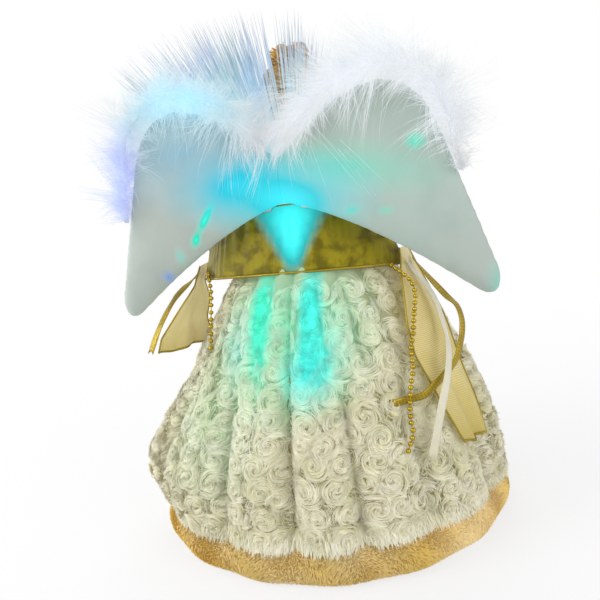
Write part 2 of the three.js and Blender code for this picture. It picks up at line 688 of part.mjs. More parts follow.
function ledLead() {
  const startX = -BOX_W / 4;
  const curve = new THREE.CatmullRomCurve3([
    at(startX, BAY_Y, BOX_TOP_Z + FIT), at(startX, BAY_Y, BOX_TOP_Z + LEAD_RISE),
    at(startX / 2, (BAY_Y + LAMP_Y) / 2, (BOX_TOP_Z + LAMP_FOOT_Z + LEAD_RISE) / 2),
    at(0, LAMP_Y, LAMP_FOOT_Z - LEAD_STRAIGHT), at(0, LAMP_Y, LAMP_FOOT_Z + LAMP_FLOOR / 2),
  ]);
  return rodAlong(curve, LEAD_R, 10, 6);
}

// Half of the bundle, with its strands fanned out to the angel's left
function fibreFan() {
  const footZ = FERRULE_TOP_Z + FIT;
  const rootZ = footZ + BUNDLE_H / 2;
  const puck = post(BUNDLE_R, footZ, footZ + BUNDLE_H, 0, LAMP_Y, LAMP_SIDES);
  const half = cut(puck, block(-BUNDLE_R, BUNDLE_SPLIT, LAMP_Y - BUNDLE_R, LAMP_Y + BUNDLE_R, 0, 2 * footZ));
  const reach = BUNDLE_R - 2 * STRAND_R;
  const roots = [];
  const rowStep = STRAND_PITCH * sin(PI / 3);
  const rows = Math.floor(reach / rowStep);
  for (let row = -rows; row <= rows; row++) {
    const depth = row * rowStep;
    const shift = row % 2 === 0 ? 0 : STRAND_PITCH / 2;
    for (let x = STRAND_FIRST_X + shift; x * x + depth * depth < reach * reach; x += STRAND_PITCH) {
      roots.push({ x, depth });
    }
  }
  // Each strand leans further out than the ones nearer the middle, so none cross
  roots.sort((a, b) => a.x - b.x || a.depth - b.depth);
  const strands = roots.map(({ x, depth }, rank) => {
    const outer = rank / (roots.length - 1);
    const lean = degToRad(lerp(FAN_FIRST_DEG, FAN_LAST_DEG, outer));
    const uneven = lerp(STRAND_SHORTEST, 1, (1 + sin(2.4 * rank * rank)) / 2);
    const length = STRAND_L * uneven * lerp(1, FAN_OUTER, outer);
    const tipY = LAMP_Y + FAN_BACK + depth * FAN_FLATTEN;
    return strand(at(x, LAMP_Y + depth, rootZ), at(x + length * sin(lean), tipY, rootZ + length * cos(lean)));
  });
  return joined(half, ...strands);
}

function strand(root, tip) {
  const ring = (middle) => ellipseRing(STRAND_R, STRAND_R, 0, 0, 3).map((p) => p.add(middle));
  return loft([ring(root), ring(tip)], { strip: true });
}

// Gown: bell skirt with hanging folds, and the plush hem under it
function skirt() {
  const columns = SKIRT_FOLDS * 6;
  const outer = [];
  const inner = [];
  for (let i = 0; i < columns; i++) {
    const turn = (2 * PI * i) / columns;
    const fold = cos(SKIRT_FOLDS * turn);
    const place = (inset) => Array.from({ length: SKIRT_ROWS + 1 }, (_, row) => {
      const z = lerp(SKIRT_TOP_Z, SKIRT_EDGE_Z, row / SKIRT_ROWS);
      const r = skirtR(z) + foldDepth(z) * fold + skirtSwing(turn, z) - inset;
      return at(r * cos(turn), r * sin(turn), z);
    });
    outer.push(place(0));
    inner.push(place(SKIRT_CLOTH));
  }
  return cloth(outer, inner, true);
}

function furHem() {
  const boreR = CONE_FOOT_R + HOOP_REACH + FIT;
  const lapZ = SKIRT_EDGE_Z - FIT;
  const sewnR = skirtR(HEM_STAND_Z) - FOLD_EDGE - SKIRT_CLOTH - FIT;
  const columns = SKIRT_FOLDS * 3;
  const rings = [];
  for (let i = 0; i < columns; i++) {
    const turn = (2 * PI * i) / columns;
    const outerR = HEM_R - HEM_WAVE + HEM_WAVE * cos(SKIRT_FOLDS * turn) + HEM_SWING * swingShare(turn);
    const stripR = (z) => sewnR + HEM_STRIP_SWING * skirtSwing(turn, z);
    const section = [
      [boreR, HEM_LIFT], [outerR - 5, HEM_LIFT], [outerR - 1, lapZ * 0.25], [outerR, lapZ * 0.55],
      [outerR - 3, lapZ], [stripR(lapZ), lapZ], [stripR(HEM_STAND_Z), HEM_STAND_Z], [boreR, HEM_STAND_Z],
    ];
    rings.push(section.map(([r, z]) => at(r * cos(turn), r * sin(turn), z)));
  }
  return loft(rings, { wrap: true });
}

// Figure
function torsoSection(height) {
  const above = TORSO.findIndex(([h]) => h >= height);
  const [h1, x1, y1] = TORSO[above];
  const [h0, x0, y0] = TORSO[Math.max(above - 1, 0)];
  const share = h1 > h0 ? (height - h0) / (h1 - h0) : 0;
  return [lerp(x0, x1, share), lerp(y0, y1, share)];
}

function torsoForm(grow) {
  return loft(TORSO.map(([h, x, y]) => ellipseRing(x + grow, y + grow, BODY_Y, TORSO_Z + h, FIGURE_SIDES)));
}

function torso() {
  const reach = 2 * SHOULDER_X;
  return cut(torsoForm(0), crossBar(SHOULDER_WIRE_R + RUN, -reach, reach, BODY_Y, SHOULDER_Z));
}

function bodice() {
  const sides = 20;
  const heights = [0, 0.36, 0.84, 1].map((share) => lerp(BODICE_LOW_H, BODICE_TOP_H, share));
  const face = (gap) => {
    const rings = heights.map((h) => {
      const [x, y] = torsoSection(h);
      return ellipseRing(x + gap, y + gap, BODY_Y, TORSO_Z + h, sides);
    });
    return Array.from({ length: sides }, (_, i) => rings.map((ring) => ring[i]));
  };
  return cloth(face(2 * FIT + BODICE_T), face(2 * FIT), true);
}

function headForm(sections, grow) {
  return loft(sections.map(([h, x, y, back]) => (
    ellipseRing(x + grow, y + grow, HEAD_Y + back, HEAD_Z + h, FIGURE_SIDES)
  )));
}

function head() {
  const nose = ball(...NOSE, 0, HEAD_Y - FACE_FORWARD, HEAD_Z + NOSE_H, 8);
  const boreR = NECK_R + FIT + NECK_EASE;
  const neck = post(boreR, HEAD_Z - NECK_SEAT, HEAD_Z + NECK_SEAT + FIT, 0, BODY_Y, FIGURE_SIDES);
  return cut(joined(headForm(HEAD, 0), nose), neck);
}

// Swept-up hair with a flat-topped bun, open at the face
function hair() {
  const bunZ = HEAD_Z + HAIR[HAIR.length - 2][0];
  const topZ = HEAD_Z + BUN_TOP_H;
  const bun = turned([
    [0, bunZ], [BUN_R - 2, bunZ], [BUN_R, (bunZ + topZ) / 2], [BUN_R - 1, topZ - 1],
    [BUN_R - 3, topZ], [0, topZ],
  ], 16, 0, HEAD_Y + HEAD_FORWARD);
  const face = block(
    -FACE_OPEN_REACH, FACE_OPEN_REACH, HEAD_Y - FACE_OPEN_REACH, HEAD_Y - FACE_OPEN,
    HEAD_Z - FACE_OPEN_REACH, HEAD_Z + HAIRLINE_H,
  );
  return cut(joined(headForm(HAIR, 0), bun), headForm(HEAD, FIT), face);
}

function shoulderWire() {
  return crossBar(SHOULDER_WIRE_R, -SHOULDER_X - 4, SHOULDER_X + 4, BODY_Y, SHOULDER_Z);
}

function armCurve() {
  const points = ARM_LINE.map(([x, y, z]) => at(SHOULDER_X + x, BODY_Y + y, SHOULDER_Z + z));
  return new THREE.CatmullRomCurve3(points);
}

function armR(share) {
  const rounding = sqrt(Math.min(1, 0.25 + share * 8));
  return lerp(ARM_SHOULDER_R, ARM_WRIST_R, share) * rounding;
}

function arm() {
  const limb = loft(ringsAlong(armCurve(), ARM_STEPS, 0, 1, (_, share) => armR(share), ARM_SIDES));
  return cut(limb, crossBar(SHOULDER_WIRE_R + RUN, 0, 2 * SHOULDER_X, BODY_Y, SHOULDER_Z));
}

function sleeve() {
  const wide = (gap) => ringsAlong(
    armCurve(), ARM_STEPS, ...SLEEVE_SPAN,
    (along, share) => armR(share) + gap + SLEEVE_FLARE * along ** SLEEVE_BELL, SLEEVE_SIDES,
  );
  const columns = (rings) => rings[0].map((_, i) => rings.map((ring) => ring[i]));
  return cloth(columns(wide(SLEEVE_EASE + SLEEVE_T)), columns(wide(SLEEVE_EASE)), true);
}

// Open hand that points along +Y from its wrist, thumb towards +Z
function hand() {
  const finger = (x, length, radius, tilt, y) => {
    const rod = new THREE.CylinderGeometry(radius * 0.75, radius, length, 6).translate(0, length / 2, 0);
    return solidOf(rod.rotateZ(tilt).translate(x, y, 0));
  };
  const cuff = new THREE.CylinderGeometry(WRIST_R, ARM_WRIST_R - 2 * FIT, WRIST_L, 10);
  const wrist = solidOf(cuff.translate(0, WRIST_L / 2, 0));
  const palm = ball(...PALM, 0, PALM_Y, 0, 10);
  const fingers = Array.from({ length: FINGER_COUNT }, (_, i) => {
    const off = i - (FINGER_COUNT - 1) / 2;
    return finger(FINGER_PITCH * off, FINGER_L - Math.abs(off), FINGER_R, -FINGER_SPREAD * off, FINGER_Y);
  });
  return joined(wrist, palm, ...fingers, finger(THUMB_X, THUMB_L, THUMB_R, THUMB_TILT, THUMB_Y));
}

// Shawl: a half ring of sheer ribbon behind the shoulders, gathered at both ends
function shawlBack() {
  const midLowZ = SKIRT_TOP_Z - SHAWL_MID_LOW;
  const lowDepth = skirtReach(midLowZ) - SHAWL_SETTLE + SHEER_T - SHAWL_Y;
  const outer = [];
  const inner = [];
  for (let i = 0; i <= SHAWL_COLUMNS; i++) {
    const turn = (PI * i) / SHAWL_COLUMNS;
    const middle = sin(turn) ** 2;
    const topZ = SKIRT_TOP_Z + SHAWL_MID_TOP * middle;
    const lowZ = SKIRT_TOP_Z - lerp(SHAWL_END_LOW, SHAWL_MID_LOW, middle);
    const halfW = turn < PI / 2 ? SHAWL_LEFT_W : SHAWL_RIGHT_W;
    const pleat = SHAWL_PLEAT * (1 - cos(12 * turn)) / 2;
    const place = (inset) => Array.from({ length: SHAWL_ROWS + 1 }, (_, row) => {
      const z = lerp(lowZ, topZ, row / SHAWL_ROWS);
      const share = Math.max(0, (z - midLowZ) / (SHAWL_MID_LOW + SHAWL_MID_TOP));
      const depth = lerp(lowDepth, SHAWL_TOP_Y - SHAWL_Y, share) + pleat - inset;
      const width = halfW - SHAWL_NARROWING * share + pleat - inset;
      return at(width * cos(turn), SHAWL_Y + depth * sin(turn), z);
    });
    outer.push(place(0));
    inner.push(place(SHEER_T));
  }
  return cloth(outer, inner);
}

// A hanging tail stands off the gown's side and may twist on its way down
function shawlTail(route, side, length, reachOut, fullW, twistDeg) {
  const curve = new THREE.CatmullRomCurve3(
    route.map(([drop, out, turn]) => at(drop * length, out * reachOut, turn)),
  );
  const endR = (side > 0 ? SHAWL_LEFT_W : SHAWL_RIGHT_W) + SHEER_T;
  const outer = [];
  const inner = [];
  for (let i = 0; i <= TAIL_STEPS; i++) {
    const share = i / TAIL_STEPS;
    const { x: drop, y: out, z: turnDeg } = curve.getPoint(share);
    const width = lerp(TAIL_GATHER_W, fullW, Math.min(1, share * 2.2));
    const r = endR + out;
    const middle = degToRad(turnDeg);
    const twist = degToRad(twistDeg) * Math.min(1, Math.max(0, share - TAIL_TWIST_FROM) * TAIL_TWIST_RATE);
    const place = (inset) => Array.from({ length: TAIL_ACROSS + 1 }, (_, j) => {
      const u = j / TAIL_ACROSS - 0.5;
      const ripple = TAIL_RIPPLE * share * (1 + sin(9 * u + 5 * share));
      const facing = middle - twist + (u * width * cos(twist)) / r;
      const wide = u * width * sin(twist);
      const turn = middle + (u * width * cos(twist)) / r;
      const reach = r + wide;
      const lift = ripple - inset;
      return at(
        side * (reach * cos(turn) + lift * cos(facing)),
        SHAWL_Y + reach * sin(turn) + lift * sin(facing), SKIRT_TOP_Z - drop,
      );
    });
    outer.push(place(0));
    inner.push(place(SHEER_T));
  }
  return cloth(outer, inner);
}

function routeCurve(route) {
  return new THREE.CatmullRomCurve3(route.map(([x, y, z]) => at(x, y, z)));
}

function beadStrand(route) {
  const curve = routeCurve(route);
  return rodAlong(curve, BEAD_D / 2, Math.round(curve.getLength() / (2.5 * BEAD_D)), 8);
}

// A flat ribbon keeps its face turned away from the gown's axis
function flatRibbon(route, width) {
  const curve = routeCurve(route);
  const steps = Math.round(curve.getLength() / (2 * width));
  const rings = [];
  for (let i = 0; i <= steps; i++) {
    const middle = curve.getPointAt(i / steps);
    const along = curve.getTangentAt(i / steps);
    const outward = at(middle.x, middle.y, 0).normalize();
    const across = along.clone().cross(outward).normalize();
    const face = across.clone().cross(along).normalize();
    const corner = (u, v) => (
      middle.clone().addScaledVector(across, (u * width) / 2).addScaledVector(face, (v * RIBBON_T) / 2)
    );
    rings.push([corner(-1, -1), corner(1, -1), corner(1, 1), corner(-1, 1)]);
  }
  return loft(rings, { strip: true });
}

// Wings: each is a padded panel on a bent wire, whose upright root turns in the lugs of a plate on the back
function wingOutline() {
  const tipX = WING_SPAN;
  const shape = new THREE.Shape();
  shape.moveTo(WING_ROOT_GAP, 0);
  shape.quadraticCurveTo(tipX * 0.38, -WING_DROP * 0.2, tipX * 0.88, -WING_DROP * 0.92);
  shape.quadraticCurveTo(tipX * 0.975, -WING_DROP * 1.06, tipX * 0.996, -WING_DROP * 0.8);
  shape.lineTo(tipX * 0.79, WING_TOP * 0.47);
  shape.quadraticCurveTo(tipX * 0.72, WING_TOP * 0.97, tipX * 0.53, WING_TOP);
  shape.quadraticCurveTo(tipX * 0.32, WING_TOP * 1.01, WING_ROOT_GAP, WING_ROOT_H);
  shape.closePath();
  return shape;
}

function wingMiddle() {
  return new THREE.Vector2(WING_SPAN * 0.52, WING_TOP * 0.13);
}

function wingPanel(grow) {
  const outline = wingOutline().getPoints(OUTLINE_STEPS).slice(0, -1);
  const middle = wingMiddle();
  const ring = (share, y) => outline.map((p) => {
    const q = p.clone().sub(middle);
    const reach = share + (share > 0 ? grow / q.length() : 0);
    q.multiplyScalar(reach).add(middle);
    return at(q.x, y, WING_Z + q.y);
  });
  return loft([
    ring(0.02, PANEL_Y - grow), ring(1, PANEL_Y - grow), ring(1, PANEL_Y + WING_RIM_T + grow),
    ring(0.84, PANEL_Y + lerp(WING_RIM_T, WING_PAD_T, 0.55) + grow),
    ring(0.5, PANEL_Y + lerp(WING_RIM_T, WING_PAD_T, 0.9) + grow), ring(0.02, PANEL_Y + WING_PAD_T + grow),
  ]);
}

function wingWire() {
  const low = PLATE_Z - 1.5;
  const high = PLATE_Z + PLATE_H + 1.5;
  const tipX = WING_SPAN - WIRE_INSET;
  const bend = 7;
  const path = new THREE.CurvePath();
  path.add(new THREE.LineCurve3(at(HINGE_X, HINGE_Y, high), at(HINGE_X, HINGE_Y, low)));
  path.add(new THREE.QuadraticBezierCurve3(
    at(HINGE_X, HINGE_Y, low), at(HINGE_X, WIRE_Y, low - bend / 3),
    at(HINGE_X + bend, WIRE_Y, low - bend / 3),
  ));
  path.add(new THREE.CatmullRomCurve3([
    at(HINGE_X + bend, WIRE_Y, low - bend / 3),
    at(tipX * 0.56, WIRE_Y, WING_Z - WING_DROP * 0.2),
    at(tipX * 0.93, WIRE_Y, WING_Z - WING_DROP * 0.68),
    at(tipX, WIRE_Y, WING_Z - WING_DROP * 0.58),
    at(tipX * 0.93, WIRE_Y, WING_Z - WING_DROP * 0.15),
    at(tipX * 0.8, WIRE_Y, WING_Z + WING_TOP * 0.48),
    at(tipX * 0.6, WIRE_Y, WING_Z + WING_TOP - WIRE_INSET),
    at(tipX * 0.32, WIRE_Y, WING_Z + WING_TOP - WIRE_INSET - 6),
    at(HINGE_X + 4 * WING_WIRE_R, WIRE_Y, high),
  ]));
  return rodAlong(path, WING_WIRE_R, WIRE_STEPS, WIRE_SIDES);
}

// Feather trim along the wing's upper edge
function marabou() {
  const [, , outer, topOuter, topInner] = wingOutline().curves;
  const stops = [
    [outer, 0.62], [outer, 0.82], [topOuter, 0], [topOuter, 0.33], [topOuter, 0.66], [topInner, 0],
    [topInner, 0.25], [topInner, 0.5], [topInner, 0.62], [topInner, 0.73],
  ];
  const path = new THREE.CatmullRomCurve3(stops.map(([curve, share]) => {
    const p = curve.getPoint(share);
    const along = curve.getTangent(share);
    return at(p.x + along.y * MARABOU_LIFT, 0, p.y - along.x * MARABOU_LIFT);
  }));
  const midY = PANEL_Y + WING_RIM_T;
  const rings = [];
  for (let i = 0; i <= MARABOU_STEPS; i++) {
    const share = i / MARABOU_STEPS;
    const middle = path.getPointAt(share);
    const along = path.getTangentAt(share);
    const swell = sqrt(sin(PI * lerp(MARABOU_ROUND, 1 - MARABOU_ROUND, share)));
    const radius = MARABOU_R * lerp(MARABOU_END, 1, swell) * (1 + MARABOU_LUMP * sin(9 * share * PI));
    rings.push(ellipseRing(radius, radius, 0, 0, MARABOU_SIDES).map((p) => (
      at(middle.x + along.z * p.x, midY + p.y, WING_Z + middle.z - along.x * p.x)
    )));
  }
  return cut(loft(rings), wingPanel(FIT));
}

function wingPlate() {
  const frontY = PLATE_BACK_Y - PLATE_T;
  const topZ = PLATE_Z + PLATE_H;
  const stemZ = PLATE_Z + 1;
  const plate = block(-PLATE_HALF_W, PLATE_HALF_W, frontY, PLATE_BACK_Y, PLATE_Z, topZ);
  const stem = cut(
    block(-STEM_HALF_W, STEM_HALF_W, BODY_Y, frontY + PLATE_T / 2, stemZ, stemZ + STEM_H),
    torsoForm(FIT),
  );
  const lugs = [];
  for (const side of [-1, 1]) {
    for (const z of [PLATE_Z + 2, topZ - 2 - PLATE_LUG_H]) {
      const x = side * HINGE_X;
      const lugTop = z + PLATE_LUG_H;
      const rootY = PLATE_BACK_Y - PLATE_T / 2;
      const barrel = post(PLATE_LUG_R, z, lugTop, x, HINGE_Y, 12);
      const root = block(x - PLATE_LUG_R, x + PLATE_LUG_R, rootY, HINGE_Y, z, lugTop);
      const bore = post(WING_WIRE_R + RUN, z - FIT, lugTop + FIT, x, HINGE_Y, 12);
      lugs.push(cut(joined(barrel, root), bore));
    }
  }
  return joined(plate, stem, ...lugs);
}

// Finishes: colour, roughness, metalness
const FINISH = {
  cone: ['#d8d2c4', 0.7, 0],
  socket: ['#cfc9bb', 0.6, 0],
  box: ['#e6e4de', 0.5, 0],
  cell: ['#3f4a52', 0.4, 0.3],
  contact: ['#c9c9c4', 0.3, 1],
  knob: ['#2b2b2d', 0.5, 0],
  lamp: ['#d9d9d6', 0.5, 0],
  board: ['#2f6b3f', 0.6, 0],
  lens: ['#bff6f4', 0.1, 0],
  ferrule: ['#2a2a2a', 0.6, 0],
  lead: ['#b8302a', 0.5, 0],
  fibre: ['#e4fcfc', 0.15, 0],
  plush: ['#d9d5bd', 0.95, 0],
  fur: ['#c49a55', 0.95, 0],
  skin: ['#eac3a4', 0.5, 0],
  satin: ['#e9e3cf', 0.45, 0],
  hair: ['#b9802a', 0.6, 0],
  wire: ['#b9b9b4', 0.35, 1],
  sheer: ['#c0a93c', 0.5, 0.2],
  bead: ['#c39a2e', 0.3, 0.9],
  cream: ['#ece4c8', 0.4, 0],
  gold: ['#b3990e', 0.4, 0.5],
  wing: ['#e6edf0', 0.4, 0],
  feather: ['#f2f5f8', 0.9, 0],
  plate: ['#e2e2de', 0.5, 0],
};

const topper = new THREE.Group();

function add(name, solid, finish, parent = topper) {
  const [color, roughness, metalness] = FINISH[finish];
  const material = new THREE.MeshStandardMaterial({ color, roughness, metalness });
  const mesh = new THREE.Mesh(geometryOf(solid), material);
  mesh.name = name;
  parent.add(mesh);
  return mesh;
}

// One piece for each side of the angel
function addPair(name, solid, finish) {
  add(`${name}_left`, solid, finish);
  add(`${name}_right`, mirrored(solid), finish);
}

// Base and tree socket
add('cone_shell', coneShell(), 'cone');
add('base_hoop', baseHoop(), 'cone');
add('tree_socket', treeSocket(), 'socket');

// Power
add('battery_box', batteryBox(), 'box');
add('battery_door', batteryDoor(), 'box');
cellXs().forEach((x, i) => add(`battery_cell_${i + 1}`, batteryCell(x, i % 2 === 1), 'cell'));
add('contact_lower', contactStrip(BAY_Z + FIT, CELL_Z - FIT, 4.4, 2.2), 'contact');
add('contact_upper', contactStrip(BAY_TOP_Z - FIT - STRIP_T, CELL_TOP_Z + FIT, 3.2, 2.2), 'contact');
add('switch_slider', switchSlider(), 'knob');

// Light
add('cone_cap', coneCap(), 'cone');
add('lamp_housing', lampHousing(), 'lamp');
add('led_board', ledBoard(), 'board');
add('led_lens', ledLens(), 'lens');
add('led_lead', ledLead(), 'lead');
add('fibre_ferrule', fibreFerrule(), 'ferrule');
addPair('fibre_fan', fibreFan(), 'fibre');

// Gown
add('skirt', skirt(), 'plush');
add('fur_hem', furHem(), 'fur');

// Figure
add('torso', torso(), 'skin');
add('bodice', bodice(), 'satin');
add('head', head(), 'skin');
add('hair', hair(), 'hair');
add('shoulder_wire', shoulderWire(), 'wire');
addPair('arm', arm(), 'skin');
addPair('sleeve', sleeve(), 'satin');

// Each hand sits in a group at its wrist, turned along the end of the arm
for (const side of [1, -1]) {
  const curve = armCurve();
  const along = curve.getTangentAt(1);
  const wrist = curve.getPointAt(1).addScaledVector(along, FIT);
  const holder = new THREE.Group();
  holder.position.set(side * wrist.x, wrist.y, wrist.z);
  holder.quaternion.setFromUnitVectors(at(0, 1, 0), at(side * along.x, along.y, along.z));
  topper.add(holder);
  const palm = side > 0 ? hand() : mirrored(hand());
  add(`hand_${side > 0 ? 'left' : 'right'}`, palm, 'skin', holder);
}

// Shawl, ribbons and beads
add('shawl_back', shawlBack(), 'sheer');
add(
  'shawl_tail_left',
  shawlTail(TAIL_LEFT, 1, TAIL_LEFT_L, TAIL_LEFT_OUT, TAIL_LEFT_W, TAIL_LEFT_TWIST_DEG),
  'sheer',
);
add(
  'shawl_tail_right',
  shawlTail(TAIL_RIGHT, -1, TAIL_RIGHT_L, TAIL_RIGHT_OUT, TAIL_RIGHT_W, TAIL_RIGHT_TWIST_DEG),
  'sheer',
);
add('bead_strand_left', beadStrand(BEADS_LEFT), 'bead');
add('bead_strand_right', beadStrand(BEADS_RIGHT), 'bead');
add('ribbon_cream_right', flatRibbon(CREAM_RIGHT, CREAM_W), 'cream');
add('ribbon_gold_left', flatRibbon(GOLD_LEFT, GOLD_W), 'gold');
add('ribbon_gold_right', flatRibbon(GOLD_RIGHT, GOLD_W), 'gold');

// Wings
add('wing_plate', wingPlate(), 'plate');
addPair('wing_wire', wingWire(), 'wire');
addPair('wing_panel', wingPanel(0), 'wing');
addPair('marabou', marabou(), 'feather');

export default topper;
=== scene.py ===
import math

import bpy
import numpy as np
from mathutils import Matrix, Vector


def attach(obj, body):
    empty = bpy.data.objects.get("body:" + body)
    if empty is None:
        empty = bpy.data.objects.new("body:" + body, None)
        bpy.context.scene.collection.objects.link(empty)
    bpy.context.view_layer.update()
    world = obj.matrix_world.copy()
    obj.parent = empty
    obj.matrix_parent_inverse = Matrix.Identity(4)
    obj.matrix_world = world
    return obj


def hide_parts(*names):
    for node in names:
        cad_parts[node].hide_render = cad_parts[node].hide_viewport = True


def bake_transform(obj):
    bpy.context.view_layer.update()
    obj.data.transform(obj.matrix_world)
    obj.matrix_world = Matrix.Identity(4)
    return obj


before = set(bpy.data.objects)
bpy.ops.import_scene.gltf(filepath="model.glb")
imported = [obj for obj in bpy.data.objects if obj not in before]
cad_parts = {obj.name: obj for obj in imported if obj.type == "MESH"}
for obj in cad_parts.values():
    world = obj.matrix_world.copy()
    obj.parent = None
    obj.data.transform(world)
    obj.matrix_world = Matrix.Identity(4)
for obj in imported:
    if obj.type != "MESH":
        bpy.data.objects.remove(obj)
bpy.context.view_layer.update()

# Sizes in millimetres, in the part's own frame: the angel faces -Y and +X is its left side
MM = 0.001
TURN = 2 * math.pi
SIDES = {"left": 1, "right": -1}
chance = np.random.default_rng(20)

SKIRT_TOP_Z = 171.0
SKIRT_EDGE_Z = 14.0
SKIRT_TOP_R = 39.0
SKIRT_EDGE_R = 98.0
SKIRT_BELL = 1.9
FOLDS = 14
WAIST_FOLDS = 22
TORSO_Z = 171.6
BODY_Y = -6.0
SHOULDER_X = 35.5
SHOULDER_Z = 202.6
HEAD_Z = 229.6
HEAD_Y = -8.0
LAMP_Y = 18.0
BUNDLE_Z = 179.6
WING_Z = 204.1
PANEL_Y = 39.2
PAD_T = 6.8

# Height above the cap, half-width, half-depth
TORSO = np.array([
    (0, 20, 11), (10, 21.5, 12), (22, 26, 13), (31, 29, 12.5), (36, 26, 11), (40, 14, 9.5), (44, 8.5, 8.5),
    (66, 7.5, 7.5),
])
# Height above the chin, half-width, half-depth, shift towards the back
HEAD = np.array([
    (0, 8.6, 9, 0), (3, 11.5, 13, -2), (9, 15, 17, -2), (18, 18, 19.5, -0.5), (27, 18.8, 20, 0),
    (36, 17, 18.5, 0.5), (43, 12, 13.5, 0.5), (47.5, 4, 4.5, 0.5),
])
HAIR = np.array([
    (4, 15, 11, 6), (12, 20.5, 18, 3.5), (24, 22.8, 22, 1.5), (36, 22.5, 22, 1), (45, 20, 20, 1),
    (52, 16, 16, 1.5), (56, 9, 9, 1.5),
])
# Height above the bun's foot, half-width, half-depth
BUN = np.array([(0, 7, 7), (2.5, 9.4, 9.4), (6, 10.2, 10.2), (9.5, 9.8, 9.8), (11.6, 7.5, 7.5), (12.2, 4, 4)])
BUN_Y = -6.0
BUN_Z = 281.6
ARM_LINE = [
    (0, 0, 5.5), (0.2, 0, 0), (5, -1, -12), (11, -3, -23), (11, -13, -27), (6, -28, -22), (-3, -42, -16),
]

BEADS_LEFT = [
    (61.5, 26.5, 164.8), (57.5, 35.2, 154.8), (56.8, 40.3, 145.3), (56.8, 44.8, 134), (57.1, 48.3, 123.5),
]
BEADS_RIGHT = [
    (-53.1, 21.4, 160.5), (-64, 28.8, 153.5), (-67.4, 32.3, 146.5), (-67.4, 36.3, 140), (-67.2, 42.4, 134),
    (-66.8, 48.7, 125), (-65.4, 51.3, 118.7), (-66.7, 57.9, 109.3), (-65.5, 63.1, 100.8), (-64.5, 66.5, 90.7),
    (-64.6, 69, 83.6), (-65.6, 71.5, 77.2), (-62.5, 74.4, 68),
]
CREAM_RIGHT = [
    (-61.7, 14, 161), (-65.3, 17.1, 155.7), (-71.4, 19.8, 148.7), (-77.8, 24.3, 137.4), (-82, 31.9, 123.8),
    (-84.8, 42.5, 115.5), (-84.4, 53.5, 103), (-80.7, 60.7, 88), (-77.8, 64.9, 76), (-74.6, 70.4, 62.8),
]
GOLD_LEFT = [(75.2, 9, 164), (79, 18, 160), (85.4, 31, 152), (90.6, 46, 138.3), (95, 55, 124)]
GOLD_RIGHT = [
    (-62.6, 5, 162), (-66, 9, 158.5), (-73.8, 12.4, 148.7), (-82.4, 15.1, 138.5), (-88.2, 19.1, 133.7),
    (-90.8, 23, 126.2), (-90.4, 26.2, 118.2), (-89.3, 31, 113.2), (-87.1, 37.2, 106.4), (-81.9, 47.4, 101.7),
    (-75.1, 57.6, 96.9), (-71.4, 61.4, 94.6), (-63.8, 61.5, 92.8), (-58.9, 65.2, 92.6), (-54.2, 68.9, 93),
]


# Lines, curves and tables of numbers
def unit(vectors):
    """The same directions with a length of 1."""
    return vectors / np.maximum(np.linalg.norm(vectors, axis=-1, keepdims=True), 1e-9)


def oval_point(half_x, half_y, turn, z, middle_y=0.0):
    """Point on the rim of a level oval; a turn of 0 lies at +X and a quarter turn at the back."""
    return np.stack([half_x * np.cos(turn), middle_y + half_y * np.sin(turn), z], -1)


def eased(share):
    """0 to 1 with a soft start and end."""
    return share * share * (3 - 2 * share)


def transport(path):
    """Tangent, normal and binormal along a line of points, without twist."""
    along = unit(np.gradient(path, axis=0))
    normal = np.array([0.0, 0.0, 1.0]) if abs(along[0, 2]) < 0.9 else np.array([1.0, 0.0, 0.0])
    normals = np.empty_like(path)
    for i, tangent in enumerate(along):
        normal = unit(normal - tangent * np.dot(normal, tangent))
        normals[i] = normal
    return along, normals, np.cross(along, normals)


def route(points, count):
    """Smooth line through the points, in even steps."""
    points = np.asarray(points, float)
    padded = np.vstack([2 * points[0] - points[1], points, 2 * points[-1] - points[-2]])
    t = np.linspace(0, 1, 12, endpoint=False)[:, None]
    pieces = []
    for i in range(len(points) - 1):
        a, b, c, d = padded[i:i + 4]
        square = (2 * a - 5 * b + 4 * c - d) * t ** 2
        cube = (3 * b - a - 3 * c + d) * t ** 3
        pieces.append(0.5 * (2 * b + (c - a) * t + square + cube))
    line = np.vstack(pieces + [points[-1:]])
    steps = np.r_[0, np.cumsum(np.linalg.norm(np.diff(line, axis=0), axis=1))]
    even = np.linspace(0, steps[-1], count)
    return np.stack([np.interp(even, steps, line[:, k]) for k in range(3)], 1)


def length_of(path):
    return float(np.linalg.norm(np.diff(path, axis=0), axis=1).sum())


def rows_at(line, step):
    """Points between the rows of a line, at fractional row numbers."""
    rows = np.arange(len(line))
    return np.stack([np.interp(step, rows, line[:, k]) for k in range(3)], 1)


def smooth_columns(table, at):
    """Curves with rounded corners through each column of a table, over its first one."""
    keys = table[:, 0]
    fine = np.linspace(keys[0], keys[-1], 160)
    kernel = np.hanning(15)
    kernel /= kernel.sum()
    curves = []
    for values in table.T[1:]:
        raw = np.interp(fine, keys, values)
        padded = np.r_[2 * raw[0] - raw[7:0:-1], raw, 2 * raw[-1] - raw[-2:-9:-1]]
        curves.append(np.interp(at, fine, np.convolve(padded, kernel, "valid")))
    return curves


# Modelling helpers
def pick(*pieces):
    """Selects pieces and nothing else; the first one is active."""
    start_fresh()
    for piece in pieces:
        piece.select_set(True)
    bpy.context.view_layer.objects.active = pieces[0]


def start_fresh():
    if bpy.context.object and bpy.context.object.mode != "OBJECT":
        bpy.ops.object.mode_set(mode="OBJECT")
    bpy.ops.object.select_all(action="DESELECT")


def joined(*pieces):
    pick(*pieces)
    bpy.ops.object.join()
    return pieces[0]


def copy_of(ob):
    copy = ob.copy()
    copy.data = ob.data.copy()
    bpy.context.collection.objects.link(copy)
    return copy


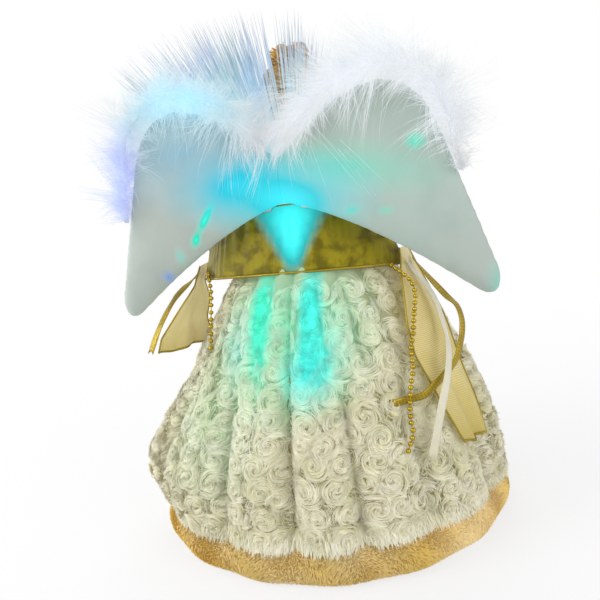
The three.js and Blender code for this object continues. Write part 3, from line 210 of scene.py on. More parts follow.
def points_of(ob):
    flat = np.empty(len(ob.data.vertices) * 3)
    ob.data.vertices.foreach_get("co", flat)
    return flat.reshape(-1, 3)


def move_points(ob, points_mm):
    ob.data.vertices.foreach_set("co", (np.asarray(points_mm) * MM).ravel())
    ob.data.update()


def apply_modifier(ob, kind, **settings):
    pick(ob)
    modifier = ob.modifiers.new(kind.title(), kind)
    for key, value in settings.items():
        setattr(modifier, key, value)
    bpy.ops.object.modifier_apply(modifier=modifier.name)


def edit_all(ob, *steps):
    pick(ob)
    bpy.ops.object.mode_set(mode="EDIT")
    bpy.ops.mesh.select_all(action="SELECT")
    for step, settings in steps:
        step(**settings)
    bpy.ops.object.mode_set(mode="OBJECT")


def face_outward(ob):
    edit_all(ob, (bpy.ops.mesh.normals_make_consistent, {"inside": False}))


def turn_out(ob, middle_mm):
    """Turns the faces of an open sheet away from a point."""
    middle = Vector(middle_mm) * MM
    lean = sum(face.normal.dot(face.center - middle) * face.area for face in ob.data.polygons)
    if lean < 0:
        edit_all(ob, (bpy.ops.mesh.flip_normals, {}))


def smooth(ob):
    pick(ob)
    bpy.ops.object.shade_smooth()


def finished(ob, name, finish, body, slot, *stands_for):
    ob.name = name
    ob.data.name = name
    ob.data.materials.clear()
    ob.data.materials.append(finish)
    if body:
        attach(ob, body)
    if stands_for:
        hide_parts(*stands_for)
    return ob


def laid_sheet(columns, rows, place, middle=(0, 0, 100), around=False, thick=0.0):
    """A grid laid so that place(u, v) gives each point; one that goes around is joined along its edges."""
    start_fresh()
    bpy.ops.mesh.primitive_grid_add(x_subdivisions=columns, y_subdivisions=rows, size=2)
    ob = bpy.context.object
    flat = points_of(ob)
    move_points(ob, place((flat[:, 0] + 1) / 2, (flat[:, 1] + 1) / 2))
    if around:
        edit_all(ob, (bpy.ops.mesh.remove_doubles, {"threshold": 2e-5}))
    turn_out(ob, middle)
    if thick:
        apply_modifier(ob, "SOLIDIFY", thickness=thick * MM, offset=-1.0)
    smooth(ob)
    return ob


def bent_bar(path, radius, sides=10):
    """A cylinder, cut along its length and bent along a line."""
    start_fresh()
    bpy.ops.mesh.primitive_cylinder_add(vertices=sides, radius=1, depth=2)
    ob = bpy.context.object
    bpy.ops.object.mode_set(mode="EDIT")
    bpy.ops.mesh.select_mode(type="EDGE")
    bpy.ops.mesh.select_all(action="DESELECT")
    bpy.ops.object.mode_set(mode="OBJECT")
    for edge in ob.data.edges:
        low, high = (ob.data.vertices[i].co.z for i in edge.vertices)
        edge.select = abs(low - high) > 1
    bpy.ops.object.mode_set(mode="EDIT")
    bpy.ops.mesh.subdivide(number_cuts=len(path) - 2)
    bpy.ops.object.mode_set(mode="OBJECT")
    flat = points_of(ob)
    last = len(path) - 1
    step = np.clip(np.rint((flat[:, 2] + 1) / 2 * last).astype(int), 0, last)
    _, normal, side = transport(path)
    reach = np.broadcast_to(radius, len(path))[step][:, None]
    move_points(ob, path[step] + reach * (normal[step] * flat[:, :1] + side[step] * flat[:, 1:2]))
    face_outward(ob)
    smooth(ob)
    return ob


def section_form(table, columns, rows, centre_y, foot_z):
    """Rounded form through stacked ovals, closed at its top and bottom."""
    if table.shape[1] == 3:
        table = np.column_stack([table, np.zeros(len(table))])
    low = table[0, 0]
    high = table[-1, 0]

    def place(u, v):
        height = low + (high - low) * np.clip((v * (rows + 2) - 1) / rows, 0, 1)
        half, deep, back = smooth_columns(table, height)
        inside = np.where((v < 0.5 / rows) | (v > 1 - 0.5 / rows), 0.0, 1.0)
        return oval_point(half * inside, deep * inside, TURN * u, foot_z + height, centre_y + back)

    return laid_sheet(columns, rows + 2, place, middle=(0, centre_y, foot_z + (low + high) / 2), around=True)


# Strands: many thin pieces in one mesh
def mark_strands(mesh, along, tint):
    """Place along the strand and tint at each point, which the finishes of pile read; the tint sets the
    strand's tone and carries random tone with painted shade and painted sheen.
    """
    for key, values in (("along", along), ("tint", tint)):
        values = np.broadcast_to(values, len(mesh.vertices)).astype(np.float32)
        mesh.attributes.new(key, "FLOAT", "POINT").data.foreach_set("value", values)


def strand_mesh(name, verts_mm, faces, share, across, tint):
    """Strands that all have the same faces; each gets its own small cell of the map."""
    count = len(tint)
    per = len(share)
    loops = (np.arange(count)[:, None] * per + np.concatenate(faces)).ravel()
    totals = np.tile([len(face) for face in faces], count)
    mesh = bpy.data.meshes.new(name)
    mesh.vertices.add(len(verts_mm))
    mesh.vertices.foreach_set("co", (verts_mm * MM).ravel())
    mesh.loops.add(len(loops))
    mesh.loops.foreach_set("vertex_index", loops)
    mesh.polygons.add(len(totals))
    mesh.polygons.foreach_set("loop_start", np.r_[0, np.cumsum(totals)[:-1]])
    mesh.polygons.foreach_set("loop_total", totals)
    mesh.update(calc_edges=True)
    grid = math.ceil(math.sqrt(count))
    index = np.arange(count)
    corner = np.stack([index % grid, index // grid], 1)[:, None]
    uv = ((corner + np.stack([across, 0.06 + 0.88 * share], 1)) / grid).reshape(-1, 2)
    layer = mesh.uv_layers.new(name="OFBake")
    layer.uv.foreach_set("vector", uv[loops].astype(np.float32).ravel())
    mark_strands(mesh, np.tile(share, count), np.repeat(tint, per))
    mesh.polygons.foreach_set("use_smooth", np.ones(len(totals), bool))
    ob = bpy.data.objects.new(name, mesh)
    bpy.context.collection.objects.link(ob)
    return ob


def planted(name, paths, width, taper, facing, tint):
    """Flat strands along paths (count, steps, 3); taper is the share of the width at each step."""
    count, steps = paths.shape[:2]
    widths = np.broadcast_to(width, count)[:, None] * np.asarray(taper)
    side = unit(np.cross(np.gradient(paths, axis=1), np.broadcast_to(facing[:, None], paths.shape)))
    side *= (widths / 2)[..., None]
    both = np.stack([paths - side, paths + side], 2)[:, :-1].reshape(count, -1, 3)
    verts = np.concatenate([both, paths[:, -1:]], 1).reshape(-1, 3)
    tip = 2 * (steps - 1)
    faces = [(2 * k, 2 * k + 1, 2 * k + 3, 2 * k + 2) for k in range(steps - 2)]
    faces.append((tip - 2, tip - 1, tip))
    share = np.r_[np.repeat(np.arange(steps - 1) / (steps - 1), 2), 1.0]
    across = np.r_[np.tile([0.12, 0.88], steps - 1), 0.5]
    return strand_mesh(name, verts, faces, share, across, tint)


def drawn_rods(name, paths, radii, sides, tint):
    """Round strands along paths (count, steps, 3) with a radius at each step, closed at both ends."""
    count, steps = paths.shape[:2]
    along = unit(np.gradient(paths, axis=1))
    helper = np.where(np.abs(along[..., 1:2]) < 0.8, [0.0, 1.0, 0.0], [1.0, 0.0, 0.0])
    normal = unit(np.cross(along, helper))
    other = np.cross(along, normal)
    turn = TURN * np.arange(sides) / sides
    ring = normal[:, :, None] * np.cos(turn)[:, None] + other[:, :, None] * np.sin(turn)[:, None]
    rings = (paths[:, :, None] + np.asarray(radii)[:, None, None] * ring)[:, :-1].reshape(count, -1, 3)
    verts = np.concatenate([rings, paths[:, -1:]], 1).reshape(-1, 3)
    tip = sides * (steps - 1)
    pairs = [(j, (j + 1) % sides) for j in range(sides)]
    faces = []
    for foot in range(0, tip - sides, sides):
        faces += [(foot + j, foot + n, foot + sides + n, foot + sides + j) for j, n in pairs]
    faces += [(tip - sides + j, tip - sides + n, tip) for j, n in pairs]
    faces.append(tuple(range(sides))[::-1])
    share = np.r_[np.repeat(np.arange(steps - 1) / (steps - 1), sides), 1.0]
    across = np.r_[np.tile(0.1 + 0.8 * np.arange(sides) / (sides - 1), steps - 1), 0.5]
    return strand_mesh(name, verts, faces, share, across, tint)


# Shader nodes
def feed(tree, socket, value):
    """Links a socket, or gives it a value."""
    if isinstance(value, bpy.types.NodeSocket):
        tree.links.new(value, socket)
    else:
        socket.default_value = value


def add_node(tree, kind, inputs=(), **settings):
    node = tree.nodes.new("ShaderNode" + kind)
    for key, value in settings.items():
        setattr(node, key, value)
    for key, value in dict(inputs).items():
        feed(tree, node.inputs[key], value)
    return node


def place_group(tree, group, **inputs):
    named = {key.replace("_", " "): value for key, value in inputs.items()}
    return add_node(tree, "Group", named, node_tree=group).outputs


def maths(tree, operation, first, second=0.0, third=0.0, clamp=False):
    inputs = {0: first, 1: second, 2: third}
    return add_node(tree, "Math", inputs, operation=operation, use_clamp=clamp).outputs[0]


def vector_maths(tree, operation, first, second=(0.0, 0.0, 0.0)):
    return add_node(tree, "VectorMath", {0: first, 1: second}, operation=operation).outputs


def rising(tree, value, start, slope):
    """0 up to the start, then a straight rise to 1."""
    return maths(tree, "MULTIPLY", maths(tree, "SUBTRACT", value, start), slope, clamp=True)


def mixed(tree, share, first, second, blend="MIX"):
    inputs = {0: share, 6: first, 7: second}
    return add_node(tree, "Mix", inputs, data_type="RGBA", blend_type=blend).outputs[2]


def grey(tree, value):
    return add_node(tree, "CombineColor", {"Red": value, "Green": value, "Blue": value}).outputs["Color"]


def object_place(tree):
    return add_node(tree, "TexCoord").outputs["Object"]


def noise(tree, scale, detail):
    inputs = {"Vector": object_place(tree), "Scale": scale, "Detail": detail}
    return add_node(tree, "TexNoise", inputs).outputs["Fac"]


# Shared shader groups
def new_group(name, inputs, outputs):
    tree = bpy.data.node_groups.new(name, "ShaderNodeTree")
    for key, kind, value in inputs:
        socket = tree.interface.new_socket(name=key, in_out="INPUT", socket_type="NodeSocket" + kind)
        socket.default_value = value
    for key, kind in outputs:
        tree.interface.new_socket(name=key, in_out="OUTPUT", socket_type="NodeSocket" + kind)
    return tree, tree.nodes.new("NodeGroupInput").outputs, tree.nodes.new("NodeGroupOutput").inputs


def strand_shade_group():
    """Colour of a strand from its root to its tip, with soft patches over the whole pile."""
    tree, given, out = new_group(
        "strand_shade",
        [("Root", "Color", (0.2, 0.2, 0.2, 1)), ("Tip", "Color", (0.9, 0.9, 0.9, 1)),
         ("Patch", "Color", (0.5, 0.5, 0.5, 1)), ("Patch Scale", "Float", 60.0),
         ("Patch Share", "Float", 0.4)],
        [("Color", "Color"), ("Along", "Float")],
    )
    along = add_node(tree, "Attribute", attribute_name="along").outputs["Fac"]
    tint = add_node(tree, "Attribute", attribute_name="tint").outputs["Fac"]
    ramp = mixed(tree, maths(tree, "POWER", along, 0.7), given["Root"], given["Tip"])
    spread = rising(tree, noise(tree, given["Patch Scale"], 3.0), 0.42, 5.0)
    patched = mixed(tree, maths(tree, "MULTIPLY", spread, given["Patch Share"]), ramp, given["Patch"])
    # The tint sets the tone, which carries random tone with painted shade and painted sheen
    tone = grey(tree, maths(tree, "MULTIPLY_ADD", tint, 0.36, 0.8))
    feed(tree, out["Color"], mixed(tree, 1.0, patched, tone, "MULTIPLY"))
    feed(tree, out["Along"], along)
    return tree


def lamp_glow_group():
    """Soft light round a place: 1 at its centre and 0 beyond its reach."""
    tree, given, out = new_group(
        "lamp_glow",
        [("Vector", "Vector", (0, 0, 0)), ("Centre", "Vector", (0, 0, 0)),
         ("Reach", "Vector", (0.1, 0.1, 0.1)), ("Tint", "Color", (0, 0.9, 0.9, 1)),
         ("Falloff", "Float", 2.0)],
        [("Color", "Color"), ("Mask", "Float")],
    )
    away = vector_maths(tree, "SUBTRACT", given["Vector"], given["Centre"])[0]
    scaled = vector_maths(tree, "DIVIDE", away, given["Reach"])[0]
    far = vector_maths(tree, "LENGTH", scaled)["Value"]
    mask = maths(tree, "POWER", maths(tree, "SUBTRACT", 1.0, far, clamp=True), given["Falloff"])
    feed(tree, out["Color"], mixed(tree, 1.0, given["Tint"], grey(tree, mask), "MULTIPLY"))
    feed(tree, out["Mask"], mask)
    return tree


def weave_group():
    """Threads across and along a cloth: a height and an open share between the threads."""
    tree, given, out = new_group(
        "thread_weave",
        [("Vector", "Vector", (0, 0, 0)), ("Across", "Float", 300.0), ("Along", "Float", 300.0)],
        [("Height", "Float"), ("Open", "Float")],
    )
    axes = add_node(tree, "SeparateXYZ", {0: given["Vector"]}).outputs
    waves = []
    for axis, pitch in ((axes[0], given["Across"]), (axes[1], given["Along"])):
        wave = maths(tree, "SINE", maths(tree, "MULTIPLY", axis, pitch))
        waves.append(maths(tree, "MULTIPLY_ADD", wave, 0.5, 0.5))
    height = maths(tree, "MAXIMUM", *waves)
    feed(tree, out["Height"], height)
    feed(tree, out["Open"], maths(tree, "SUBTRACT", 1.0, height, clamp=True))
    return tree


def grain_group():
    """Fine uneven surface of moulded and painted pieces."""
    tree, given, out = new_group(
        "moulded_grain",
        [("Shade", "Color", (0.8, 0.8, 0.8, 1)), ("Worn", "Color", (0.6, 0.6, 0.6, 1)),
         ("Scale", "Float", 400.0), ("Rough", "Float", 0.5)],
        [("Color", "Color"), ("Roughness", "Float"), ("Height", "Float")],
    )
    broad = noise(tree, 45.0, 3.0)
    feed(tree, out["Color"], mixed(tree, rising(tree, broad, 0.45, 2.2), given["Shade"], given["Worn"]))
    spread = maths(tree, "MULTIPLY", maths(tree, "SUBTRACT", broad, 0.5), 0.3)
    feed(tree, out["Roughness"], maths(tree, "ADD", given["Rough"], spread, clamp=True))
    feed(tree, out["Height"], noise(tree, given["Scale"], 4.0))
    return tree


STRAND_SHADE = strand_shade_group()
LAMP_GLOW = lamp_glow_group()
WEAVE = weave_group()
GRAIN = grain_group()


# Finishes; colours are given by their usual 0 to 255 values
def shade(colour):
    return tuple(((c / 255 + 0.055) / 1.055) ** 2.4 if c > 10 else c / 255 / 12.92 for c in colour) + (1.0,)


def dress(tree, surface, **inputs):
    for key, value in inputs.items():
        feed(tree, surface.inputs[key.replace("_", " ")], value)


def new_finish(name, **constants):
    finish = bpy.data.materials.new(name)
    finish.use_nodes = True
    tree = finish.node_tree
    surface = tree.nodes["Principled BSDF"]
    dress(tree, surface, **constants)
    return finish, tree, surface


def grain(tree, colour, worn, scale, rough):
    return place_group(tree, GRAIN, Shade=shade(colour), Worn=shade(worn), Scale=scale, Rough=rough)


def raise_by(tree, surface, height, strength, distance):
    bump = add_node(tree, "Bump", {"Height": height, "Strength": strength, "Distance": distance * MM})
    dress(tree, surface, Normal=bump.outputs[0])


def glows(tree, spots):
    """Sum of soft lights: (centre mm, reach mm, colour, falloff, and degrees that its long side leans)."""
    total = None
    place = object_place(tree)
    for centre, reach, tint, falloff, *lean in spots:
        turned = (0.0, math.radians(lean[0]) if lean else 0.0, 0.0)
        inputs = {"Vector": place, "Location": [c * MM for c in centre], "Rotation": turned}
        seen = add_node(tree, "Mapping", inputs, vector_type="TEXTURE").outputs[0]
        light = place_group(
            tree, LAMP_GLOW, Vector=seen, Reach=[r * MM for r in reach], Tint=shade(tint), Falloff=falloff,
        )["Color"]
        total = light if total is None else mixed(tree, 1.0, total, light, "ADD")
    return total


def dimmed(tree, colour, light, glow_tint, most):
    """Under a painted glow the base colour is mixed toward a painted tint of that glow, so less of the
    cloth's own colour shows.
    """
    parts = add_node(tree, "SeparateColor", {"Color": light}).outputs
    strong = maths(tree, "POWER", maths(tree, "MAXIMUM", parts["Green"], parts["Blue"]), 1.3)
    return mixed(tree, maths(tree, "MULTIPLY", strong, most, clamp=True), colour, shade(glow_tint))


def pile_finish(
    name, root, tip, patch, patch_scale, patch_share, lights=None, light_at_root=False, rough=0.85, glow_tint=None,
    sheen=0.25,
):
    finish, tree, surface = new_finish(name, Roughness=rough, Sheen_Weight=sheen, Specular_IOR_Level=0.2)
    strand = place_group(
        tree, STRAND_SHADE, Root=shade(root), Tip=shade(tip), Patch=shade(patch), Patch_Scale=patch_scale,
        Patch_Share=patch_share,
    )
    colour = strand["Color"]
    if lights:
        light = glows(tree, lights)
        if glow_tint:
            colour = dimmed(tree, colour, light, glow_tint, 1.8)
        if light_at_root:
            hold = maths(tree, "MULTIPLY_ADD", strand["Along"], -0.5, 1.0)
            hold = maths(tree, "MULTIPLY", hold, maths(tree, "MULTIPLY", noise(tree, 150.0, 2.0), 2.1))
            light = mixed(tree, 1.0, light, grey(tree, hold), "MULTIPLY")
        dress(tree, surface, Emission_Color=light, Emission_Strength=1.0)
    dress(tree, surface, Base_Color=colour)
    return finish


def moulded_finish(name, colour, worn, rough, metallic=0.0, scale=500.0, bump=0.15):
    finish, tree, surface = new_finish(name, Metallic=metallic)
    skin = grain(tree, colour, worn, scale, rough)
    dress(tree, surface, Base_Color=skin["Color"], Roughness=skin["Roughness"])
    raise_by(tree, surface, skin["Height"], bump, 0.1)
    return finish


def cloth_finish(
    name, colour, worn, threads, rough, alpha=None, metallic=0.0, sheen=0.3, lights=None, foot=None,
    shine=0.5, mottled=0.0,
):
    """Woven cloth on the piece's own map. alpha gives the cover of thread and of gap for a sheer cloth."""
    finish, tree, surface = new_finish(
        name, Roughness=rough, Metallic=metallic, Sheen_Weight=sheen, Specular_IOR_Level=shine,
    )
    own = add_node(tree, "UVMap", uv_map="UVMap").outputs["UV"]
    weave = place_group(tree, WEAVE, Vector=own, Across=threads[0], Along=threads[1])
    skin = grain(tree, colour, worn, 120.0, rough)
    tone = mixed(tree, maths(tree, "MULTIPLY", weave["Open"], 0.5), skin["Color"], shade(worn))
    raise_by(tree, surface, weave["Height"], 0.4, 0.15)
    if mottled:
        blots = rising(tree, noise(tree, mottled, 4.0), 0.46, 6.0)
        tone = mixed(tree, maths(tree, "MULTIPLY", blots, 0.7), tone, shade(worn))
    if foot:
        low = rising(tree, add_node(tree, "SeparateXYZ", {0: own}).outputs[1], 0.7, 3.6)
        tone = mixed(tree, maths(tree, "MULTIPLY", low, 0.75), tone, shade(foot))
    if alpha:
        thread, gap = alpha
        dress(tree, surface, Alpha=maths(tree, "MULTIPLY_ADD", weave["Height"], thread - gap, gap))
    if lights:
        light = glows(tree, lights)
        # Under the painted glow the base colour turns toward a painted teal
        tone = dimmed(tree, tone, light, (0, 70, 74), 3.0)
        dress(tree, surface, Emission_Color=light, Emission_Strength=1.0)
    dress(tree, surface, Base_Color=tone)
    return finish


# Soft lights painted into the finishes as glow: centre, reach, colour, falloff and lean; one that reaches
# everywhere is painted light in the pile
EVERYWHERE = (900, 900, 900)
SKIRT_LIGHTS = [
    ((0, 0, 80), EVERYWHERE, (74, 70, 50), 0.2),
    ((17, 58, 140), (10, 40, 56), (0, 206, 170), 1.0),
    ((-13, 60, 146), (9, 40, 40), (0, 200, 202), 1.0),
    ((0, 62, 140), (58, 60, 68), (14, 148, 122), 1.0),
    ((-11, 74, 112), (19, 30, 26), (0, 196, 204), 1.3),
    ((34, 62, 126), (20, 40, 34), (40, 104, 120), 1.4),
    ((-24, 66, 122), (14, 40, 32), (30, 140, 140), 1.3),
    ((46, 66, 86), (56, 60, 62), (14, 88, 66), 1.2),
]
HEM_LIGHTS = [
    ((0, 0, 20), EVERYWHERE, (60, 50, 20), 0.2),
    # Painted highlight on the right of the hem
    ((-92, 44, 22), (56, 50, 40), (104, 102, 92), 0.9),
]
FEATHER_LIGHTS = [
    ((52, 46, 266), (56, 60, 42), (76, 134, 142), 1.3),
    ((0, 46, 240), EVERYWHERE, (88, 88, 90), 0.2),
    ((112, 46, 228), (40, 50, 50), (60, 60, 150), 1.2),
    # Painted highlight on the marabou of the angel's right
    ((-58, 46, 262), (80, 60, 60), (122, 115, 110), 0.7),
]
WING_LIGHTS = [
    ((-3, 46, 207), (60, 60, 32), (56, 200, 212), 1.1),
    ((-4, 46, 200), (26, 60, 20), (0, 150, 164), 1.0),
    ((28, 46, 219), (50, 60, 24), (0, 150, 170), 1.1, 14),
    ((56, 46, 240), (64, 60, 38), (16, 104, 140), 1.1),
    ((-44, 46, 222), (60, 60, 18), (20, 140, 104), 1.3, -14),
    ((-70, 46, 214), (76, 60, 70), (58, 88, 80), 1.0),
    ((-79, 46, 230), (7, 60, 6), (50, 205, 160), 1.0),
    ((-59, 46, 195), (7, 60, 4), (50, 150, 116), 1.3),
    ((-40, 46, 197), (8, 60, 4), (50, 150, 116), 1.3, 12),
    ((49, 46, 200), (4, 60, 15), (50, 225, 180), 1.2, -38),
    ((57, 46, 189), (4, 60, 7), (50, 235, 190), 1.2, -30),
    ((69, 46, 180), (5, 60, 8), (40, 150, 135), 1.4),
    ((80, 46, 168), (6, 60, 7), (60, 84, 180), 1.5),
    ((114, 46, 140), (10, 60, 12), (0, 110, 100), 1.3),
    ((-115, 46, 148), (9, 60, 20), (10, 140, 120), 1.3),
]
BAND_LIGHTS = [
    ((0.4 * k - 1, 40, 175 + 6 * k), (8 + 4.4 * k, 40, 15), (40, 166, 166), 0.7) for k in range(6)
]
TAIL_LIGHTS = [((0, 0, 100), EVERYWHERE, (84, 74, 34), 0.2)]

# Pile and down turn toward a painted tint of their glow where it is strong
plush = pile_finish(
    "ivory_rosette_pile", (196, 184, 136), (255, 251, 236), (208, 203, 160), 40.0, 0.5, SKIRT_LIGHTS,
    light_at_root=True, glow_tint=(30, 160, 144), sheen=0.8,
)
plush_ground = pile_finish(
    "ivory_pile_ground", (206, 199, 158), (206, 199, 158), (190, 185, 140), 90.0, 0.6, SKIRT_LIGHTS,
    glow_tint=(0, 130, 120),
)
tan_fur = pile_finish("tan_fur", (200, 164, 70), (238, 208, 116), (252, 242, 208), 14.0, 0.45, HEM_LIGHTS)
feather = pile_finish(
    "white_down", (240, 241, 243), (224, 221, 216), (236, 238, 244), 40.0, 0.35, FEATHER_LIGHTS, rough=0.7,
    glow_tint=(150, 190, 214),
)
hair_gold = pile_finish("golden_hair", (128, 82, 10), (232, 180, 70), (190, 134, 36), 90.0, 0.5, rough=0.4)
organza = cloth_finish(
    "gold_organza", (168, 152, 22), (84, 72, 0), (1500.0, 500.0), 0.4, (0.96, 0.8), 0.1, 0.05, BAND_LIGHTS,
    shine=0.15, mottled=110.0,
)
pale_organza = cloth_finish(
    "pale_organza", (242, 228, 166), (218, 198, 110), (300.0, 700.0), 0.45, (0.82, 0.52), 0.0, 0.3,
    TAIL_LIGHTS, foot=(196, 172, 54),
)
cream_satin = cloth_finish("cream_ribbon", (240, 234, 208), (222, 212, 178), (120.0, 1800.0), 0.35, sheen=0.4)
gold_mesh = cloth_finish(
    "gold_ribbon", (176, 150, 24), (108, 88, 4), (26.0, 420.0), 0.38, (1.0, 0.7), 0.45, 0.1,
)
ivory_satin = cloth_finish("ivory_satin", (238, 232, 214), (218, 210, 186), (700.0, 500.0), 0.38, sheen=0.4)
seam_thread = moulded_finish("seam_thread", (176, 158, 112), (146, 126, 82), 0.8, 0.0, 2500.0, 0.6)
gold_cord = moulded_finish("gold_cord", (158, 136, 36), (108, 90, 12), 0.35, 0.6, 2500.0, 0.6)
bead_gold = moulded_finish("bead_gold", (176, 150, 48), (126, 104, 22), 0.25, 0.9, 900.0, 0.05)
skin_vinyl = moulded_finish("doll_skin", (238, 204, 180), (230, 190, 164), 0.45, 0.0, 900.0, 0.05)
pale_shell = moulded_finish("pale_shell", (222, 216, 204), (206, 199, 184), 0.6)
white_case = moulded_finish("white_case", (232, 230, 225), (216, 214, 208), 0.45, 0.0, 1400.0, 0.2)
cell_sleeve = moulded_finish("cell_sleeve", (62, 72, 80), (44, 52, 58), 0.35, 0.4)
plated = moulded_finish("plated_strip", (205, 205, 200), (170, 170, 164), 0.28, 1.0)
black_knob = moulded_finish("black_knob", (40, 40, 42), (60, 60, 62), 0.5)
board_green = moulded_finish("board_green", (34, 96, 54), (24, 74, 40), 0.45)
red_sheath = moulded_finish("red_sheath", (176, 42, 34), (150, 30, 26), 0.45)
drawn_wire = moulded_finish("drawn_wire", (196, 196, 190), (160, 160, 156), 0.3, 1.0, 1600.0)


def fibre_finish():
    finish, tree, surface = new_finish("clear_fibre", Roughness=0.15, Emission_Strength=0.5)
    strand = place_group(
        tree, STRAND_SHADE, Root=shade((196, 236, 240)), Tip=shade((184, 192, 200)),
        Patch=shade((196, 194, 230)), Patch_Scale=46.0, Patch_Share=0.4,
    )
    towards_tip = maths(tree, "POWER", strand["Along"], 2.0)
    bright = mixed(tree, towards_tip, shade((168, 232, 238)), shade((124, 142, 156)))
    light = mixed(tree, 0.5, bright, strand["Color"], "MULTIPLY")
    dress(tree, surface, Base_Color=strand["Color"], Emission_Color=light)
    return finish


def wing_finish():
    finish, tree, surface = new_finish(
        "white_satin", Roughness=0.42, Sheen_Weight=0.2, Specular_IOR_Level=0.3, Emission_Strength=1.0,
    )
    upright = {"Vector": object_place(tree), "Rotation": (math.pi / 2, 0, 0)}
    turned = add_node(tree, "Mapping", upright).outputs[0]
    weave = place_group(tree, WEAVE, Vector=turned, Across=7000.0, Along=7000.0)
    skin = grain(tree, (181, 190, 182), (166, 177, 170), 900.0, 0.42)
    puckers = noise(tree, 70.0, 2.0)
    raise_by(tree, surface, maths(tree, "MULTIPLY_ADD", weave["Height"], 0.06, puckers), 0.35, 0.8)
    light = glows(tree, WING_LIGHTS)
    # Under the painted glow the satin's base colour turns toward a painted teal
    colour = dimmed(tree, skin["Color"], light, (0, 110, 120), 2.0)
    dress(tree, surface, Emission_Color=light, Base_Color=colour)
    return finish


def lens_finish():
    finish, tree, surface = new_finish("lit_lens", Roughness=0.08, Emission_Strength=1.0)
    skin = grain(tree, (190, 244, 242), (160, 230, 232), 600.0, 0.08)
    dress(tree, surface, Base_Color=skin["Color"], Emission_Color=skin["Color"])
    return finish


clear_fibre = fibre_finish()
white_satin = wing_finish()

# Solids that are shown as they are
NODE_FINISHES = {
    pale_shell: ["cone_shell", "base_hoop", "cone_cap", "tree_socket"],
    white_case: ["battery_box", "battery_door", "lamp_housing", "wing_plate"],
    cell_sleeve: ["battery_cell_1", "battery_cell_2", "battery_cell_3"],
    plated: ["contact_lower", "contact_upper"],
    black_knob: ["switch_slider", "fibre_ferrule"],
    board_green: ["led_board"],
    red_sheath: ["led_lead"],
    lens_finish(): ["led_lens"],
    drawn_wire: ["shoulder_wire", "wing_wire_left", "wing_wire_right"],
}
for finish, nodes in NODE_FINISHES.items():
    for node in nodes:
        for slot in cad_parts[node].material_slots:
            slot.material = finish


# Camera at the photograph's place: behind the angel, a little above and rolled
CAMERA_AZIMUTH = 199.7
CAMERA_ELEVATION = 11.6
CAMERA_ROLL = -8.1
CAMERA_TARGET = Vector((0.0133, 0.0, 0.1389))
CAMERA_DISTANCE = 0.4915
FOCAL_PIXELS = 766.3
PHOTO_PIXELS = 600
SENSOR_MM = 36.0


def set_camera():
    azimuth, elevation, roll = (math.radians(a) for a in (CAMERA_AZIMUTH, CAMERA_ELEVATION, CAMERA_ROLL))
    level = math.cos(elevation)
    away = Vector((math.sin(azimuth) * level, -math.cos(azimuth) * level, math.sin(elevation)))
    right = Vector((math.cos(azimuth), math.sin(azimuth), 0.0))
    upright = away.cross(right)
    across = right * math.cos(roll) + upright * math.sin(roll)
    upward = upright * math.cos(roll) - right * math.sin(roll)
    data = bpy.data.cameras.new("photo_camera")
    data.sensor_width = SENSOR_MM
    data.lens = FOCAL_PIXELS / PHOTO_PIXELS * SENSOR_MM
    data.clip_start = 0.01
    camera = bpy.data.objects.new("photo_camera", data)
    bpy.context.collection.objects.link(camera)
    axes = Matrix((across, upward, away)).transposed().to_4x4()
    camera.matrix_world = Matrix.Translation(CAMERA_TARGET + away * CAMERA_DISTANCE) @ axes
    bpy.context.scene.camera = camera


set_camera()


# Ribbons and bead strands
CREAM_WIDTH = 6.0
GOLD_WIDTH = 4.5
BEAD_SIZE = 3.0
BEAD_PITCH = 3.7


def flat_ribbon(name, node, points, width, finish, slot, notched=False, towards_back=0.0):
    """A ribbon that lies with its face outward, a little cupped, and ends straight or in a notch."""
    path = route(points, max(12, int(length_of(np.asarray(points, float)) / 2.2)))
    last = len(path) - 1
    along = np.gradient(path, axis=0)
    outward = unit(path * [1, 1, 0])
    outward = outward + towards_back * np.clip(np.linspace(0, 4, len(path)), 0, 1)[:, None] * [0, 1, 0]
    across = unit(np.cross(along, outward))
    face = unit(np.cross(across, along))

    def place(u, v):
        seat, side, front, onward = (rows_at(line, v * last) for line in (path, across, face, along))
        cup = 0.35 * np.cos((u - 0.5) * math.pi) + 0.25 * np.sin(v * 23) * (u - 0.5)
        notch = np.where(v > 0.999, np.abs(u - 0.5) * width * 0.9 - width * 0.3, 0.0) * notched
        seat = seat + side * ((u - 0.5) * width)[:, None] + front * cup[:, None]
        return seat + unit(onward) * notch[:, None]

    ob = laid_sheet(6, last, place, thick=0.25)
    finished(ob, name, finish, "base", slot, node)


def bead_strand(name, node, points):
    path = route(points, 200)
    count = int(length_of(path) / BEAD_PITCH)
    seats = path[np.rint(np.linspace(0, len(path) - 1, count)).astype(int)]
    start_fresh()
    bpy.ops.mesh.primitive_uv_sphere_add(segments=14, ring_count=9, radius=BEAD_SIZE / 2 * MM)
    bead = bpy.context.object
    edit_all(bead, (bpy.ops.transform.resize, {"value": (1.0, 1.0, 0.94)}))
    smooth(bead)
    beads = [bead] + [copy_of(bead) for _ in seats[1:]]
    for copy, seat in zip(beads, seats):
        move_points(copy, points_of(copy) / MM + seat)
    line = route(points, 60)
    strand = joined(bent_bar(line, 0.4, 6), *beads)
    finished(strand, name, bead_gold, "base", "bead", node)


bead_strand("bead_string_left", "bead_strand_left", BEADS_LEFT)
bead_strand("bead_string_right", "bead_strand_right", BEADS_RIGHT)
flat_ribbon("cream_streamer", "ribbon_cream_right", CREAM_RIGHT, CREAM_WIDTH, cream_satin, "cream")
flat_ribbon(
    "gold_streamer_left", "ribbon_gold_left", GOLD_LEFT, GOLD_WIDTH, gold_mesh, "gold", notched=True,
    towards_back=2.5,
)
flat_ribbon(
    "gold_streamer_right", "ribbon_gold_right", GOLD_RIGHT, GOLD_WIDTH, gold_mesh, "gold", notched=True,
    towards_back=0.5,
)


